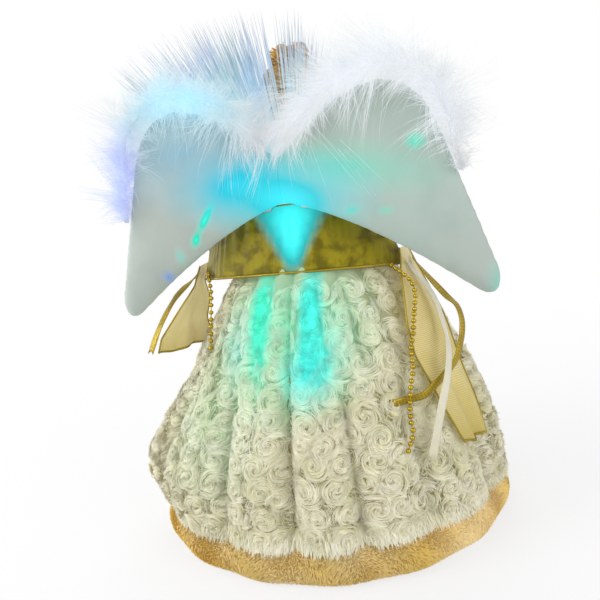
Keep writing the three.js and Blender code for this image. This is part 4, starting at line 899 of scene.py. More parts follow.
# Skirt of rosette plush, which swings out on the angel's left
SWING_DEG = 20
SWING_SPREAD_DEG = 34
SWING_OUT = 22
SWING_Z = 50
SWING_H = 36
SKIRT_H = SKIRT_TOP_Z - SKIRT_EDGE_Z
ARM_ROOM_Z = 134
ARM_ROOM_H = 14
ARM_ROOM_PILE = 0.85
TAIL_TURN_DEG = 24
TAIL_SPREAD_DEG = 20
ROSETTE = 16.4
ROSETTE_ROW = 14.0
ROSETTE_FOOT_Z = 28.0
ROSE_R = 9.0
ROSE_LOCKS = 16
LOCK_FIBRES = 21
LOCK_WIDTH = 0.45
LOCK_TAPER = (0.7, 1.0, 0.9, 0.6, 0.0)
PILE_PARTS = 6
PILE_EDGE_Z = 21.0
FUZZ_STRANDS = 21000
FUZZ_WIDTH = 0.55
EDGE_STRANDS = 5200
EDGE_WIDTH = 0.9
# Share by which painted shade darkens the pile in the fold valleys
VALLEY_SHADE = 0.6


def nearest_turn(turn):
    """The same turn, between half a turn back and half a turn on."""
    return (turn + math.pi) % TURN - math.pi


def swing_share(turn):
    return np.exp(-(nearest_turn(turn - math.radians(SWING_DEG)) / math.radians(SWING_SPREAD_DEG)) ** 2)


def skirt_rise(z):
    return np.clip((z - SKIRT_EDGE_Z) / SKIRT_H, 0, 1)


def pleats(turn, z):
    """1 on a fold and -1 in a valley: broad uneven folds below, narrow ones at the waist."""
    wander = 0.07 * (np.sin(3 * turn + 0.8) - math.sin(1.5 * math.pi + 0.8))
    broad = 2 * np.abs(np.cos(FOLDS * (turn + wander) / 2)) ** 0.9 - 1
    narrow = 2 * np.abs(np.cos(WAIST_FOLDS * turn / 2)) ** 0.9 - 1
    return broad + (narrow - broad) * eased(np.clip((skirt_rise(z) - 0.45) / 0.3, 0, 1))


# Painted shade: lowers the tone of strands in the fold valleys
def valley_shade(turn, z):
    return VALLEY_SHADE * np.clip(-pleats(turn, z), 0, 1)


def arm_room(turn, z):
    """1 at the front of the waist, where the sleeves come down, and 0 elsewhere."""
    front = np.clip((0.35 - np.sin(turn)) / 0.3, 0, 1)
    return front * np.clip((z - ARM_ROOM_Z) / ARM_ROOM_H, 0, 1)


def under_tail(turn, z):
    """1 where the right tail lies on the gown and presses its pile down."""
    side = np.degrees((TURN - turn) % TURN - math.pi)
    near = np.clip((TAIL_SPREAD_DEG - np.abs(side - TAIL_TURN_DEG)) / 6, 0, 1)
    return near * np.clip((z - 50) / 8, 0, 1) * np.clip((150 - z) / 10, 0, 1)


def skirt_radius(turn, z):
    rise = skirt_rise(z)
    bell = SKIRT_TOP_R + (SKIRT_EDGE_R - SKIRT_TOP_R) * (1 - rise ** SKIRT_BELL)
    depth = (2.1 + 2.8 * np.exp(-((rise - 0.38) / 0.33) ** 2)) * (0.85 + 0.25 * np.sin(4 * turn + 1.2))
    depth = depth * (1 - 0.8 * arm_room(turn, z))
    swing = SWING_OUT * swing_share(turn) * np.exp(-((z - SWING_Z) / SWING_H) ** 2)
    return bell + swing + depth * pleats(turn, z)


def on_skirt(turn, z, lift):
    r = skirt_radius(turn, z) + lift
    return oval_point(r, r, turn, z)


def skirt_out(turn, z):
    slope = (skirt_radius(turn, z + 1) - skirt_radius(turn, z - 1)) / 2
    return unit(oval_point(1.0, 1.0, turn, -slope))


def valley_dip(turn, z):
    """Pile lies lower in the pleats, and lowest at the seam of the centre back."""
    deep = np.exp(-((pleats(turn, z) + 1) / 0.45) ** 2)
    seam = np.abs(nearest_turn(turn - math.pi / 2)) * skirt_radius(turn, z)
    return (1 - 0.42 * deep) * (1 - 0.5 * np.exp(-(seam / 2.4) ** 2))


def rosette_seats():
    seats = []
    z = ROSETTE_FOOT_Z
    row = 0
    while z < SKIRT_TOP_Z - 4:
        r = float(skirt_radius(np.array(0.1), np.array(z)))
        count = round(TURN * r / ROSETTE)
        for i in range(count):
            turn = TURN * (i + 0.5 * (row % 2)) / count
            if z < 156 or math.sin(turn) < 0.1:
                seats.append((turn, z))
        slope = float(skirt_radius(np.array(0.1), np.array(z + 5)) - r) / 5
        z += ROSETTE_ROW / math.hypot(1, slope)
        row += 1
    return np.array(seats)


def rosette_pile(name, seats):
    """Silky locks that curl round the middle of each rose and fray at their ends."""
    count = len(seats)
    radius = skirt_radius(seats[:, 0], seats[:, 1])
    seats = seats + np.stack([chance.normal(0, 1.5, count) / radius, chance.normal(0, 1.3, count)], 1)
    rose = (count, 1, 1, 1)
    lock = (count, ROSE_LOCKS, 1, 1)
    each = (count, ROSE_LOCKS, LOCK_FIBRES, 1)
    t = np.linspace(0, 1, len(LOCK_TAPER))
    size = chance.uniform(0.85, 1.2, rose)
    way = np.where(chance.random(rose) < 0.7, 1.0, -1.0)
    number = np.arange(ROSE_LOCKS)[None, :, None, None]
    inner = ROSE_R * (0.04 + 0.86 * (number / ROSE_LOCKS) ** 0.8)
    inner = np.abs(inner + chance.uniform(-0.5, 0.5, lock))
    start = 2.4 * number + chance.uniform(-0.5, 0.5, lock)
    sweep = np.clip(chance.uniform(6.5, 11.5, lock) / (inner + 2.2), 0.6, 2.6)
    drift = chance.uniform(0.2, 2.4, lock)
    across = chance.normal(0, 1.05, each)
    begin = chance.uniform(-0.3, 0.3, each)
    ring = size * (inner + drift * t ** 1.3) + across * (0.6 + 0.7 * t)
    angle = way * (start + sweep * (begin + t * chance.uniform(0.7, 1.1, each)))
    hump = 2.3 + 2.2 * np.cos(0.5 * math.pi * np.clip(np.abs(ring) / (11.2 * size), 0, 1)) ** 0.8
    full = 0.7 * (1 - np.clip(np.abs(across) / 2.1, 0, 1) ** 2)
    lift = hump * (0.6 + 0.4 * np.sin(math.pi * (0.12 + 0.72 * t))) + full + chance.normal(0, 0.4, each)
    z = seats[:, 1, None, None, None] + ring * np.sin(angle) * 0.94
    turn = seats[:, 0, None, None, None] + ring * np.cos(angle) / radius[:, None, None, None]
    stray = np.where(chance.random(each) < 0.16, chance.uniform(0.4, 2.6, each), 0.0)
    room = (1 - ARM_ROOM_PILE * arm_room(turn, z)) * (1 - 0.5 * under_tail(turn, z))
    lift = room * (np.maximum(lift * valley_dip(turn, z), 0.3) + stray * t ** 2)
    paths = on_skirt(turn, np.maximum(z, PILE_EDGE_Z), lift).reshape(-1, len(t), 3)
    facing = skirt_out(turn[..., 2], z[..., 2]).reshape(-1, 3)
    # Tone of each strand: random per lock, with painted shade at the edges of each lock and in the fold
    # valleys
    tint = chance.uniform(0.5, 1.05, lock) + 0.4 * (full - 0.45) + chance.normal(0, 0.14, each)
    tint = np.clip((tint - valley_shade(turn[..., 2:3], z[..., 2:3])).ravel(), -0.8, 1.2)
    ob = planted(name, paths, LOCK_WIDTH, LOCK_TAPER, facing, tint)
    return finished(ob, name, plush, "base", "plush")


def ground_fuzz(name):
    """Short soft pile that fills the cloth between the roses."""
    turn = chance.random(FUZZ_STRANDS) * TURN
    rise = np.sqrt(chance.uniform(0.1, 1.0, FUZZ_STRANDS))
    top = SKIRT_TOP_Z - 5
    z = top - (top - PILE_EDGE_Z) * rise
    keep = (z < 158) | (np.sin(turn) < 0.1)
    turn = turn[keep]
    z = z[keep]
    count = len(z)
    way = chance.random(count) * TURN
    bend = way[:, None] + chance.normal(0, 0.7, count)[:, None] * np.linspace(0, 1, 4)
    step = np.cumsum(np.stack([np.cos(bend), np.sin(bend)], -1), 1)
    step *= chance.uniform(1.2, 2.2, count)[:, None, None]
    up = np.maximum(z[:, None] + step[..., 1], PILE_EDGE_Z)
    around = turn[:, None] + step[..., 0] / skirt_radius(turn, z)[:, None]
    lift = 0.6 + chance.uniform(1.0, 2.6, count)[:, None] * np.array([0.3, 0.8, 1.0, 0.9])
    paths = on_skirt(around, up, lift * (1 - ARM_ROOM_PILE * arm_room(around, up)))
    # Tone: random, with painted shade in the fold valleys
    tint = chance.uniform(0.3, 1.0, count) - valley_shade(turn, z)
    ob = planted(name, paths, FUZZ_WIDTH, (0.8, 1.0, 0.8, 0.0), skirt_out(turn, z), tint)
    return finished(ob, name, plush, "base", "plush")


def shaggy_edge(name):
    turn = chance.random(EDGE_STRANDS) * TURN
    root = chance.uniform(27, 33, EDGE_STRANDS)
    drop = chance.uniform(6, 10, EDGE_STRANDS)
    t = np.linspace(0, 1, 5)
    bend = turn[:, None] + chance.normal(0, 0.02, EDGE_STRANDS)[:, None] * t
    lift = 1.6 + 4.2 * t + chance.uniform(-0.6, 0.8, EDGE_STRANDS)[:, None]
    paths = on_skirt(bend, root[:, None] - drop[:, None] * t, lift)
    tint = chance.uniform(0.5, 1.1, EDGE_STRANDS)
    ob = planted(name, paths, EDGE_WIDTH, (0.8, 1.0, 0.9, 0.6, 0.0), skirt_out(turn, root), tint)
    return finished(ob, name, plush, "base", "plush")


def make_skirt():
    def place(u, v):
        return on_skirt(TURN * u, PILE_EDGE_Z + (SKIRT_TOP_Z - PILE_EDGE_Z) * v, 0.2)

    cloth = laid_sheet(220, 44, place, middle=(0, 0, 60), around=True, thick=2.2)
    finished(cloth, "skirt_cloth", plush_ground, "base", "plush", "skirt")
    seats = rosette_seats()
    sector = np.floor((seats[:, 0] % TURN) / TURN * PILE_PARTS).astype(int) % PILE_PARTS
    pile = [rosette_pile(f"skirt_pile_{k + 1}", seats[sector == k]) for k in range(PILE_PARTS)]
    pile.append(ground_fuzz("skirt_fuzz"))
    pile.append(shaggy_edge("skirt_edge"))
    z = np.linspace(26, 112, 60)
    line = on_skirt(math.pi / 2 + 0.012 * np.sin(z * 0.31), z, 1.5 + 0.9 * np.sin(z * 0.53))
    pile.append(finished(bent_bar(line, 0.4, 6), "skirt_seam", seam_thread, "base", "plush"))


make_skirt()


# Hem of short tan fur
HEM_MIDDLE_R = 97.8
HEM_WAVE = 0.9
HEM_SWING = 11
HEM_MIDDLE_Z = 11.2
HEM_HALF_WIDE = 6.2
HEM_HALF_HIGH = 10.4
HEM_STRANDS = 48000
HEM_WIDTH = 0.55
FLOOR_GAP = 0.25


def hem_point(turn, section, lift):
    """A point of the rounded ring; section turns from its outer side over the top."""
    middle = HEM_MIDDLE_R + HEM_WAVE * np.cos(FOLDS * turn) + HEM_SWING * swing_share(turn)
    out = middle + (HEM_HALF_WIDE + lift) * np.cos(section)
    return oval_point(out, out, turn, HEM_MIDDLE_Z + (HEM_HALF_HIGH + lift) * np.sin(section))


def make_hem_roll():
    start_fresh()
    bpy.ops.mesh.primitive_torus_add(
        major_segments=220, minor_segments=18, major_radius=1.0, minor_radius=0.1,
    )
    ring = bpy.context.object
    x, y, z = points_of(ring).T
    move_points(ring, hem_point(np.arctan2(y, x), np.arctan2(z, np.hypot(x, y) - 1.0), 0.0))
    smooth(ring)
    finished(ring, "hem_roll", tan_fur, "base", "fur", "fur_hem")
    mark_strands(ring.data, 0.0, 0.0)


def make_hem_fur():
    turn = chance.random(HEM_STRANDS) * TURN
    section = chance.uniform(-1.2, 1.75, HEM_STRANDS)
    comb = 0.5 * np.sin(turn * 9 + 2 * np.sin(turn * 4)) + 0.35 * np.sin(turn * 23 + section * 2)
    lean = comb + chance.normal(0, 0.2, HEM_STRANDS)
    fall = -0.35 + 0.3 * np.sin(turn * 13 + 1.3) + chance.normal(0, 0.2, HEM_STRANDS)
    reach = chance.uniform(1.8, 2.9, HEM_STRANDS)
    t = np.linspace(0, 1, 4)
    along_turn = turn[:, None] + (lean * reach)[:, None] * t ** 1.4 / 100
    along_section = section[:, None] + (fall * reach)[:, None] * t ** 1.5 / 11
    paths = hem_point(along_turn, along_section, reach[:, None] * (t - 0.3 * t ** 2))
    paths[..., 2] = np.maximum(paths[..., 2], FLOOR_GAP)
    facing = oval_point(np.cos(section), np.cos(section), turn, np.sin(section))
    facing = unit(facing + chance.normal(0, 0.4, facing.shape))
    # Tone follows the comb: a painted sheen of the brushed pile, with random tone
    tint = np.clip(0.65 + 0.25 * comb + chance.normal(0, 0.14, HEM_STRANDS), 0, 1.2)
    for half in (0, 1):
        name = f"fur_hem_pile_{half + 1}"
        some = slice(half, None, 2)
        fur = planted(name, paths[some], HEM_WIDTH, (0.9, 1.0, 0.75, 0.0), facing[some], tint[some])
        finished(fur, name, tan_fur, "base", "fur")


make_hem_roll()
make_hem_fur()


# Wings: satin panels filled with wadding, held along their outline by the wire
PANEL_T = 5.0
SEWN_WIDTH = 2.2
MIDDLE_WIDTH = 3.0
FILLING_PRESSURE = 4.0
FILLING_FRAMES = 20
FILLING_MOST = 2.0


def bezier(a, b, c, count):
    t = np.linspace(0, 1, count, endpoint=False)[:, None]
    a, b, c = (np.array(p, float) for p in (a, b, c))
    return (1 - t) ** 2 * a + 2 * t * (1 - t) * b + t ** 2 * c


# Place out from the middle of the pair and height above its lower corner
WING_OUTLINE = np.vstack([
    bezier((0, 0.4), (1.5, 0.2), (3, 0), 3),
    bezier((3, 0), (44.5, -12.4), (103, -57), 40),
    bezier((103, -57), (114.1, -65.7), (116.5, -49.6), 12),
    bezier((116.5, -49.6), (104.5, -10.7), (92.4, 28.2), 30),
    bezier((92.4, 28.2), (84.2, 58.2), (62, 60), 18),
    bezier((62, 60), (37.4, 60.6), (3, 28), 28),
    bezier((3, 28), (1.5, 27.6), (0, 27.4), 3),
    bezier((0, 27.4), (0, 14), (0, 0.4), 10),
])


def edge_distance(points):
    """Distance of wing points from the outline; the middle edge of the pair doesn't count."""
    a = WING_OUTLINE
    b = np.roll(a, -1, axis=0)
    keep = ~((a[:, 0] < 2.9) & (b[:, 0] < 2.9))
    a = a[keep]
    b = b[keep]
    p = np.stack([points[:, 0], points[:, 2] - WING_Z], 1)[:, None]
    share = np.clip(((p - a) * (b - a)).sum(2) / ((b - a) ** 2).sum(1), 0, 1)[..., None]
    return np.linalg.norm(p - (a + share * (b - a)), axis=2).min(1)


def fill_out(ob):
    """Wadding pushes the cloth out from inside; the sewn outline is held."""
    pick(ob)
    held = ob.vertex_groups.new(name="sewn")
    flat = points_of(ob) / MM
    near = (edge_distance(flat) < SEWN_WIDTH) | (flat[:, 0] < MIDDLE_WIDTH)
    held.add([int(i) for i in np.nonzero(near)[0]], 1.0, "REPLACE")
    filling = ob.modifiers.new("Filling", "CLOTH")
    cloth = filling.settings
    cloth.use_pressure = True
    cloth.uniform_pressure_force = FILLING_PRESSURE
    cloth.effector_weights.gravity = 0.0
    cloth.mass = 0.0004
    cloth.quality = 5
    cloth.vertex_group_mass = "sewn"
    filling.point_cache.frame_start = 1
    filling.point_cache.frame_end = FILLING_FRAMES
    for frame_number in range(1, FILLING_FRAMES + 1):
        bpy.context.scene.frame_set(frame_number)
    bpy.ops.object.modifier_apply(modifier=filling.name)
    bpy.context.scene.frame_set(1)
    ob.vertex_groups.clear()
    step = points_of(ob) / MM - flat
    far = np.linalg.norm(step, axis=1)
    step *= np.minimum(1.0, FILLING_MOST / np.maximum(far, 1e-9))[:, None]
    move_points(ob, flat + step)


def swing_with_wing(ob):
    """Bakes the piece's placement into its points."""
    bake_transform(ob)


def wing_pad():
    """The left wing: a flat panel with a crown of wadding and soft quilting."""
    start_fresh()
    bpy.ops.mesh.primitive_circle_add(vertices=len(WING_OUTLINE), radius=1, fill_type="NGON")
    pad = bpy.context.object
    out, up = WING_OUTLINE.T
    move_points(pad, np.stack([out, np.full(len(out), PANEL_Y), up + WING_Z], 1))
    edit_all(
        pad,
        (bpy.ops.mesh.extrude_region_move, {"TRANSFORM_OT_translate": {"value": (0, PANEL_T * MM, 0)}}),
        (bpy.ops.mesh.select_all, {"action": "SELECT"}),
        (bpy.ops.mesh.normals_make_consistent, {"inside": False}),
    )
    apply_modifier(pad, "REMESH", mode="VOXEL", voxel_size=2.2 * MM)
    flat = points_of(pad) / MM
    x, y, z = flat.T
    crown = 1 - np.exp(-edge_distance(flat) / 6.0)
    share = np.clip((y - PANEL_Y) / PANEL_T, 0, 1)
    quilt = 0.5 * np.sin(x * 0.16 + z * 0.1) * np.sin(x * 0.07 - z * 0.13)
    flat[:, 1] = PANEL_Y + 0.3 + share * (1.3 + (PAD_T - 1.6) * crown + quilt * crown)
    move_points(pad, flat)
    fill_out(pad)
    apply_modifier(pad, "SMOOTH", factor=0.5, iterations=3)
    apply_modifier(pad, "SUBSURF", levels=1, render_levels=1)
    move_points(pad, np.maximum(points_of(pad) / MM, [0.0, PANEL_Y, -np.inf]))
    smooth(pad)
    return pad


def make_wings():
    left = wing_pad()
    right = copy_of(left)
    move_points(right, points_of(left) / MM * [-1, 1, 1])
    edit_all(right, (bpy.ops.mesh.flip_normals, {}))
    for ob, side in ((left, "left"), (right, "right")):
        finished(ob, f"wing_pad_{side}", white_satin, None, "wing", f"wing_panel_{side}")
        swing_with_wing(ob)


make_wings()


# Marabou along the wing tops: a cord with long wisps and short down
MARABOU_TOP = [
    (97, 41, 238), (89, 41, 259), (70, 41, 271), (54, 41, 271.5), (38, 41, 266), (24, 41, 255), (13, 41, 245),
    (6, 42.5, 238.5),
]
MARABOU_LINE = {
    "left": [(103.6, 41, 204), (99.5, 41, 220)] + MARABOU_TOP,
    "right": [(101, 41, 212), (98, 41, 226)] + MARABOU_TOP,
}
WING_MIDDLE = (45, 41, 215)
TUFTS = 300
CORD_STEPS = 240
CORD_R = 1.6
# Number, reach, width, steps and outward push of the barbs
BARBS = {
    "wisps": (8600, (14, 36), 0.22, 6, (-0.45, 1.3)),
    "down": (5600, (8, 20), 0.32, 5, (-0.55, 0.9)),
}


def barbs(name, side, count, reach, width, steps, upward):
    """Barbs in tufts along the cord; each tuft has its own direction, length and droop."""
    mirror = [SIDES[side], 1, 1]
    line = route(MARABOU_LINE[side], CORD_STEPS)
    along, normal, other = transport(line)
    thick = 0.3 + 0.7 * np.sqrt(np.sin(math.pi * np.linspace(0.02, 0.86, CORD_STEPS)))
    seat = chance.choice(CORD_STEPS, TUFTS, p=thick / thick.sum())
    turn = chance.random(TUFTS) * TURN
    radial = normal[seat] * np.cos(turn)[:, None] + other[seat] * np.sin(turn)[:, None]
    outward = np.cross(along[seat], [0.0, 1.0, 0.0])
    outward *= np.sign((outward * (line[seat] - WING_MIDDLE)).sum(1))[:, None]
    push = radial + outward * chance.uniform(*upward, TUFTS)[:, None]
    push = push + along[seat] * chance.normal(0.6, 0.45, TUFTS)[:, None]
    droop = chance.normal(0, 0.75, (TUFTS, 3)) + np.array([0.0, 0.2, -0.4])
    size = chance.uniform(*reach, TUFTS) * thick[seat]
    tuft = chance.integers(0, TUFTS, count)
    at = np.clip(seat[tuft] + chance.normal(0, 3, count), 0, CORD_STEPS - 1).astype(int)
    push = push[tuft] + chance.normal(0, 0.17, (count, 3))
    push[:, 1] = np.maximum(push[:, 1], -0.75 * np.linalg.norm(push, axis=1))
    push = unit(push)
    droop = droop[tuft] + chance.normal(0, 0.16, (count, 3))
    t = np.linspace(0, 1, steps)[:, None]
    bend = push[:, None] * t + droop[:, None] * (0.5 * t ** 2)
    paths = line[at][:, None] + (size[tuft] * chance.uniform(0.6, 1.15, count))[:, None, None] * bend
    paths += np.sin(t * 5) * chance.normal(0, 0.5, (count, 1, 3))
    paths[..., 0] = np.clip(paths[..., 0], 1.0, 124.0)
    paths[..., 1] = np.where(paths[..., 0] > 4, np.clip(paths[..., 1], 26.5, 62), paths[..., 1])
    facing = unit(np.cross(push * mirror, chance.normal(0, 1, (count, 3))))
    taper = np.linspace(1, 0.25, steps)
    taper[-1] = 0
    widths = width * chance.uniform(0.7, 1.3, count)
    ob = planted(name, paths * mirror, widths, taper, facing, chance.uniform(0.4, 1.1, count))
    finished(ob, name, feather, None, "feather")
    swing_with_wing(ob)


for side, sign in SIDES.items():
    quill = bent_bar(route(MARABOU_LINE[side], 40) * [sign, 1, 1], CORD_R, 8)
    finished(quill, f"marabou_cord_{side}", feather, None, "feather", f"marabou_{side}")
    mark_strands(quill.data, 0.0, 0.0)
    swing_with_wing(quill)
    for kind, shape in BARBS.items():
        barbs(f"marabou_{kind}_{side}", side, *shape)


# Light fibres fanning up from the ferrule
FIBRES = 360
FIBRE_STEPS = 8
FIBRE_REACH = 134
FIBRE_RADII = [0.23] * (FIBRE_STEPS - 2) + [0.27, 0.0]
BUNDLE_R = 7.0


def fibre_lines(side):
    """Strands of one side in order from the upright ones to those that lean out furthest."""
    t = np.linspace(0, 1, FIBRE_STEPS)[:, None]
    spread = np.sqrt(chance.random(FIBRES)) * BUNDLE_R
    root_x = np.clip(spread * np.abs(np.cos(chance.random(FIBRES) * math.pi)), 0.5, 6.8)
    deep = np.sqrt(np.maximum(BUNDLE_R ** 2 - root_x ** 2, 0)) * chance.uniform(-1, 1, FIBRES)
    outer = np.sort(chance.random(FIBRES)) ** (0.9 if side == "left" else 0.75)
    lean = np.radians(0.5 + 40.5 * outer)
    root_x = np.sort(root_x)
    grow = 0.15 * outer if side == "left" else -0.2 * np.clip((outer - 0.15) / 0.3, 0, 1)
    reach = FIBRE_REACH * chance.uniform(0.84, 1.0, FIBRES) * (1 + grow)
    tip_x = root_x + reach * np.sin(lean)
    tip = np.stack([tip_x, LAMP_Y + 6 + deep * 0.6, BUNDLE_Z + reach * np.cos(lean)], 1)
    root = np.stack([root_x, LAMP_Y + deep, np.full(FIBRES, BUNDLE_Z)], 1)
    bow = np.stack([-np.cos(lean), np.zeros(FIBRES), np.sin(lean)], 1)
    bow *= (chance.uniform(-2, 7, FIBRES) * (0.15 + np.degrees(lean) / 50))[:, None]
    stray = chance.normal(0, 1, (FIBRES, 1, 3)) * [1.6, 0.5, 0.8]
    lines = root[:, None] + (tip - root)[:, None] * t + bow[:, None] * np.sin(math.pi * t) + stray * t ** 3
    lines[..., 0] = np.maximum(lines[..., 0], 0.4)
    return lines


for side, sign in SIDES.items():
    lines = fibre_lines(side) * [sign, 1, 1]
    fibres = drawn_rods(f"light_fibres_{side}", lines, FIBRE_RADII, 3, chance.uniform(0.4, 1.1, FIBRES))
    if sign < 0:
        face_outward(fibres)
    finished(fibres, f"light_fibres_{side}", clear_fibre, "base", "fibre", f"fibre_fan_{side}")


# Sheer gold band round the back and its two hanging tails
BAND_REACH_LEFT = 72.0
BAND_REACH_RIGHT = 58.0
BAND_Y = 2.0
BAND_FOOT_Z = 171.0
SHEER_T = 0.25
# Drop below the band, place out from it and degrees round to the back, in even steps down the tail
TAIL_LINE = {
    "left": [(2, 0, 5), (16, 4, 12), (34, 11, 18), (50, 17, 21)],
    "right": [(2, 0, 4), (16, 5, 10), (36, 14, 16), (58, 23, 21), (86, 34, 25), (110, 40, 26)],
}
TAIL_WIDTH = {"left": 36, "right": 43}
TAIL_GATHERED = 16


def band_point(u, v, lift=0.0):
    turn = math.pi * u
    half = np.where(turn < math.pi / 2, BAND_REACH_LEFT, BAND_REACH_RIGHT) - 5.0 * v
    bow = np.sin(turn)
    depth = 42.5 - 13.5 * v
    low = 158 + 7 * bow
    top = 171 + 32 * bow
    out = lift + 0.35 * (1 - np.cos(12 * turn))
    out = out + 0.35 * np.sin(57 * turn + 2.5 * np.sin(9 * turn)) * (0.35 + 0.65 * v)
    return oval_point(half + out, depth + out, turn, low + (top - low) * v, BAND_Y)


def tail_point(side, u, v):
    left = side == "left"
    line = np.array(TAIL_LINE[side], float)
    drop, out, degrees = smooth_columns(np.column_stack([np.linspace(0, 1, len(line)), line]), v)
    width = TAIL_GATHERED + (TAIL_WIDTH[side] - TAIL_GATHERED) * np.minimum(1, 2.2 * v)
    slant = 0.0 if left else 0.42 * np.clip((v - 0.6) / 0.4, 0, 1)
    twist = np.radians(50 if left else 0) * np.clip(1.7 * (v - 0.25), 0, 1)
    across = (u * (1 - slant) - 0.5) * width - 1.8 * v * np.sin(16 * v) * (1 - u) ** 2
    r = (72.8 if left else 58.8 + 1.2 * v) + out
    turn = np.radians(degrees) + across * np.cos(twist) / r
    ripple = 1.5 * v * (1 + np.sin(9 * (u - 0.5) + 5 * v)) + 1.3 * v * np.sin(17 * u + 4 * v)
    ripple = ripple * (1 - 0.8 * u ** 3)
    reach = r + across * np.sin(twist)
    z = BAND_FOOT_Z - drop + 2.4 * v * np.sin(7 * u + 1) * (u - 0.2)
    place = oval_point(reach, reach, turn, z, BAND_Y) + oval_point(ripple, ripple, turn - twist, 0 * z)
    return place * [SIDES[side], 1, 1]


def make_band():
    band = laid_sheet(220, 24, band_point, middle=(0, 0, 180), thick=SHEER_T)
    finished(band, "shawl_band", organza, "base", "sheer", "shawl_back")
    share = np.linspace(0, 1, 121)
    for name, v, size in (("shawl_hem_low", 0.0, 0.75), ("shawl_hem_top", 1.0, 0.5)):
        hem = bent_bar(band_point(share, v, 0.3), size, 8)
        finished(hem, name, gold_cord, "base", "gold")


def make_tail(side):
    name = f"shawl_end_{side}"
    tail = laid_sheet(36, 60, lambda u, v: tail_point(side, u, v), middle=(0, 0, 130), thick=SHEER_T)
    finished(tail, name, pale_organza, "base", "sheer", f"shawl_tail_{side}")
    line = np.linspace(0, 1, 40)
    for edge, u, v, size in (("rear", 1.0, line, 0.55), ("front", 0.0, line, 0.55), ("foot", line, 1.0, 0.7)):
        wire = bent_bar(tail_point(side, u, v), size, 7)
        finished(wire, f"{name}_{edge}", gold_cord, "base", "gold")


make_band()
for side in SIDES:
    make_tail(side)


# Doll: torso, head with a plain moulded face, hair, arms and hands

# Paint on both halves of the face: centre, reach, colour, falloff and strength
FACE_PAINT = [
    ((9.5, -24, 246.5), (7, 12, 5.5), (232, 142, 128), 1.2, 0.55),
    ((7.2, -26, 256.0), (4.3, 12, 2.3), (112, 74, 52), 1.0, 12.0),
    ((7.2, -26, 255.7), (3.9, 12, 1.9), (244, 242, 236), 1.0, 14.0),
    ((7.0, -26, 255.7), (1.9, 12, 1.95), (86, 120, 148), 1.0, 14.0),
    ((7.0, -26, 255.7), (1.0, 12, 1.05), (26, 26, 32), 1.0, 12.0),
    # The small white spot in each eye is a painted highlight
    ((6.5, -26, 256.4), (0.5, 12, 0.5), (252, 252, 252), 1.0, 10.0),
    ((7.6, -26, 261.6), (4.4, 12, 0.8), (150, 100, 48), 1.0, 4.0),
    ((0.0, -28, 242.4), (4.0, 12, 1.7), (196, 78, 82), 1.0, 7.0),
]
# Relief of both halves of the face: place out, height, half-width, half-height and push
FACE_RELIEF = [
    (0, 249.6, 2.0, 2.0, 3.2), (0, 255.5, 1.5, 5.0, 1.3), (0, 243.5, 3.2, 0.9, 0.8),
    (0, 241.2, 2.6, 0.9, 0.9), (0, 234.8, 4.2, 3.0, 1.3), (7.2, 256, 4.0, 2.6, -1.2),
    (9.5, 246.5, 5.0, 5.0, 0.9), (7.4, 261.4, 4.4, 1.4, 0.5),
]
HAIRLINE_H = 4
HAIR_TOP_H = 56
LOCKS = 900
BUN_LOCKS = 420
CROWN_LOCKS = 160
CROWN_Z = 294.1
LOCK_STEPS = 9
CURLS = 190
CURL_STEPS = 22
HAIR_MOST_Z = 296.0
BODICE_H = 25
ARM_STEPS = 60
ARM_R = 6.0
WRIST_R = 4.0
PALM_RADII = [2.6, 2.5, 2.4, 2.3, 2.2, 2.1, 2.0, 1.9, 1.6]
FINGER_REACH = [8.6, 10.2, 9.6, 7.4]


def painted_face():
    finish, tree, surface = new_finish("doll_face")
    skin = grain(tree, (240, 206, 184), (234, 194, 170), 900.0, 0.42)
    axes = add_node(tree, "SeparateXYZ", {0: object_place(tree)}).outputs
    halves = {0: maths(tree, "ABSOLUTE", axes[0]), 1: axes[1], 2: axes[2]}
    folded = add_node(tree, "CombineXYZ", halves).outputs[0]
    colour = skin["Color"]
    for centre, reach, tint, falloff, strength in FACE_PAINT:
        spot = place_group(
            tree, LAMP_GLOW, Vector=folded, Centre=[c * MM for c in centre], Reach=[r * MM for r in reach],
            Falloff=falloff,
        )["Mask"]
        colour = mixed(tree, maths(tree, "MULTIPLY", spot, strength, clamp=True), colour, shade(tint))
    dress(tree, surface, Base_Color=colour, Roughness=skin["Roughness"])
    raise_by(tree, surface, skin["Height"], 0.05, 0.1)
    return finish


def make_head():
    head = section_form(HEAD, 120, 96, HEAD_Y, HEAD_Z)
    flat = points_of(head) / MM
    front = np.clip((HEAD_Y - 6 - flat[:, 1]) / 6, 0, 1)
    for x, z, wide, high, push in FACE_RELIEF:
        spot = np.exp(-((np.abs(flat[:, 0]) - x) / wide) ** 2 - ((flat[:, 2] - z) / high) ** 2)
        flat[:, 1] -= front * push * spot
    move_points(head, flat)
    finished(head, "doll_head", painted_face(), "base", "skin", "head")


def cap_point(turn, share, lift):
    """The hair's surface: share 0 at the hairline, 1 under the bun."""
    low = HAIRLINE_H + 34 * eased(np.clip((-np.sin(turn) - 0.25) / 0.45, 0, 1))
    height = low + (HAIR_TOP_H - low) * share
    half, deep, back = smooth_columns(HAIR, height)
    return oval_point(half + lift, deep + lift, turn, HEAD_Z + height, HEAD_Y + back)


def hair_strands(name, paths, radius, foot, rise, sides, tint):
    """Round locks that are thickest in the middle and end in a point."""
    radii = radius * np.sin(math.pi * (foot + rise * np.linspace(0, 1, paths.shape[1])))
    radii[-1] = 0
    strands = drawn_rods(name, paths, radii, sides, tint)
    face_outward(strands)
    finished(strands, name, hair_gold, "base", "hair")


def make_hair():
    cap = laid_sheet(
        96, 40, lambda u, v: cap_point(TURN * u, v, -0.4), middle=(0, HEAD_Y, HEAD_Z + 25), around=True,
        thick=0.8,
    )
    finished(cap, "hair_cap", hair_gold, "base", "hair", "hair")
    bun = section_form(BUN, 48, 24, BUN_Y, BUN_Z)
    finished(bun, "hair_bun", hair_gold, "base", "hair")
    for ob in (cap, bun):
        mark_strands(ob.data, 0.3, 0.4)


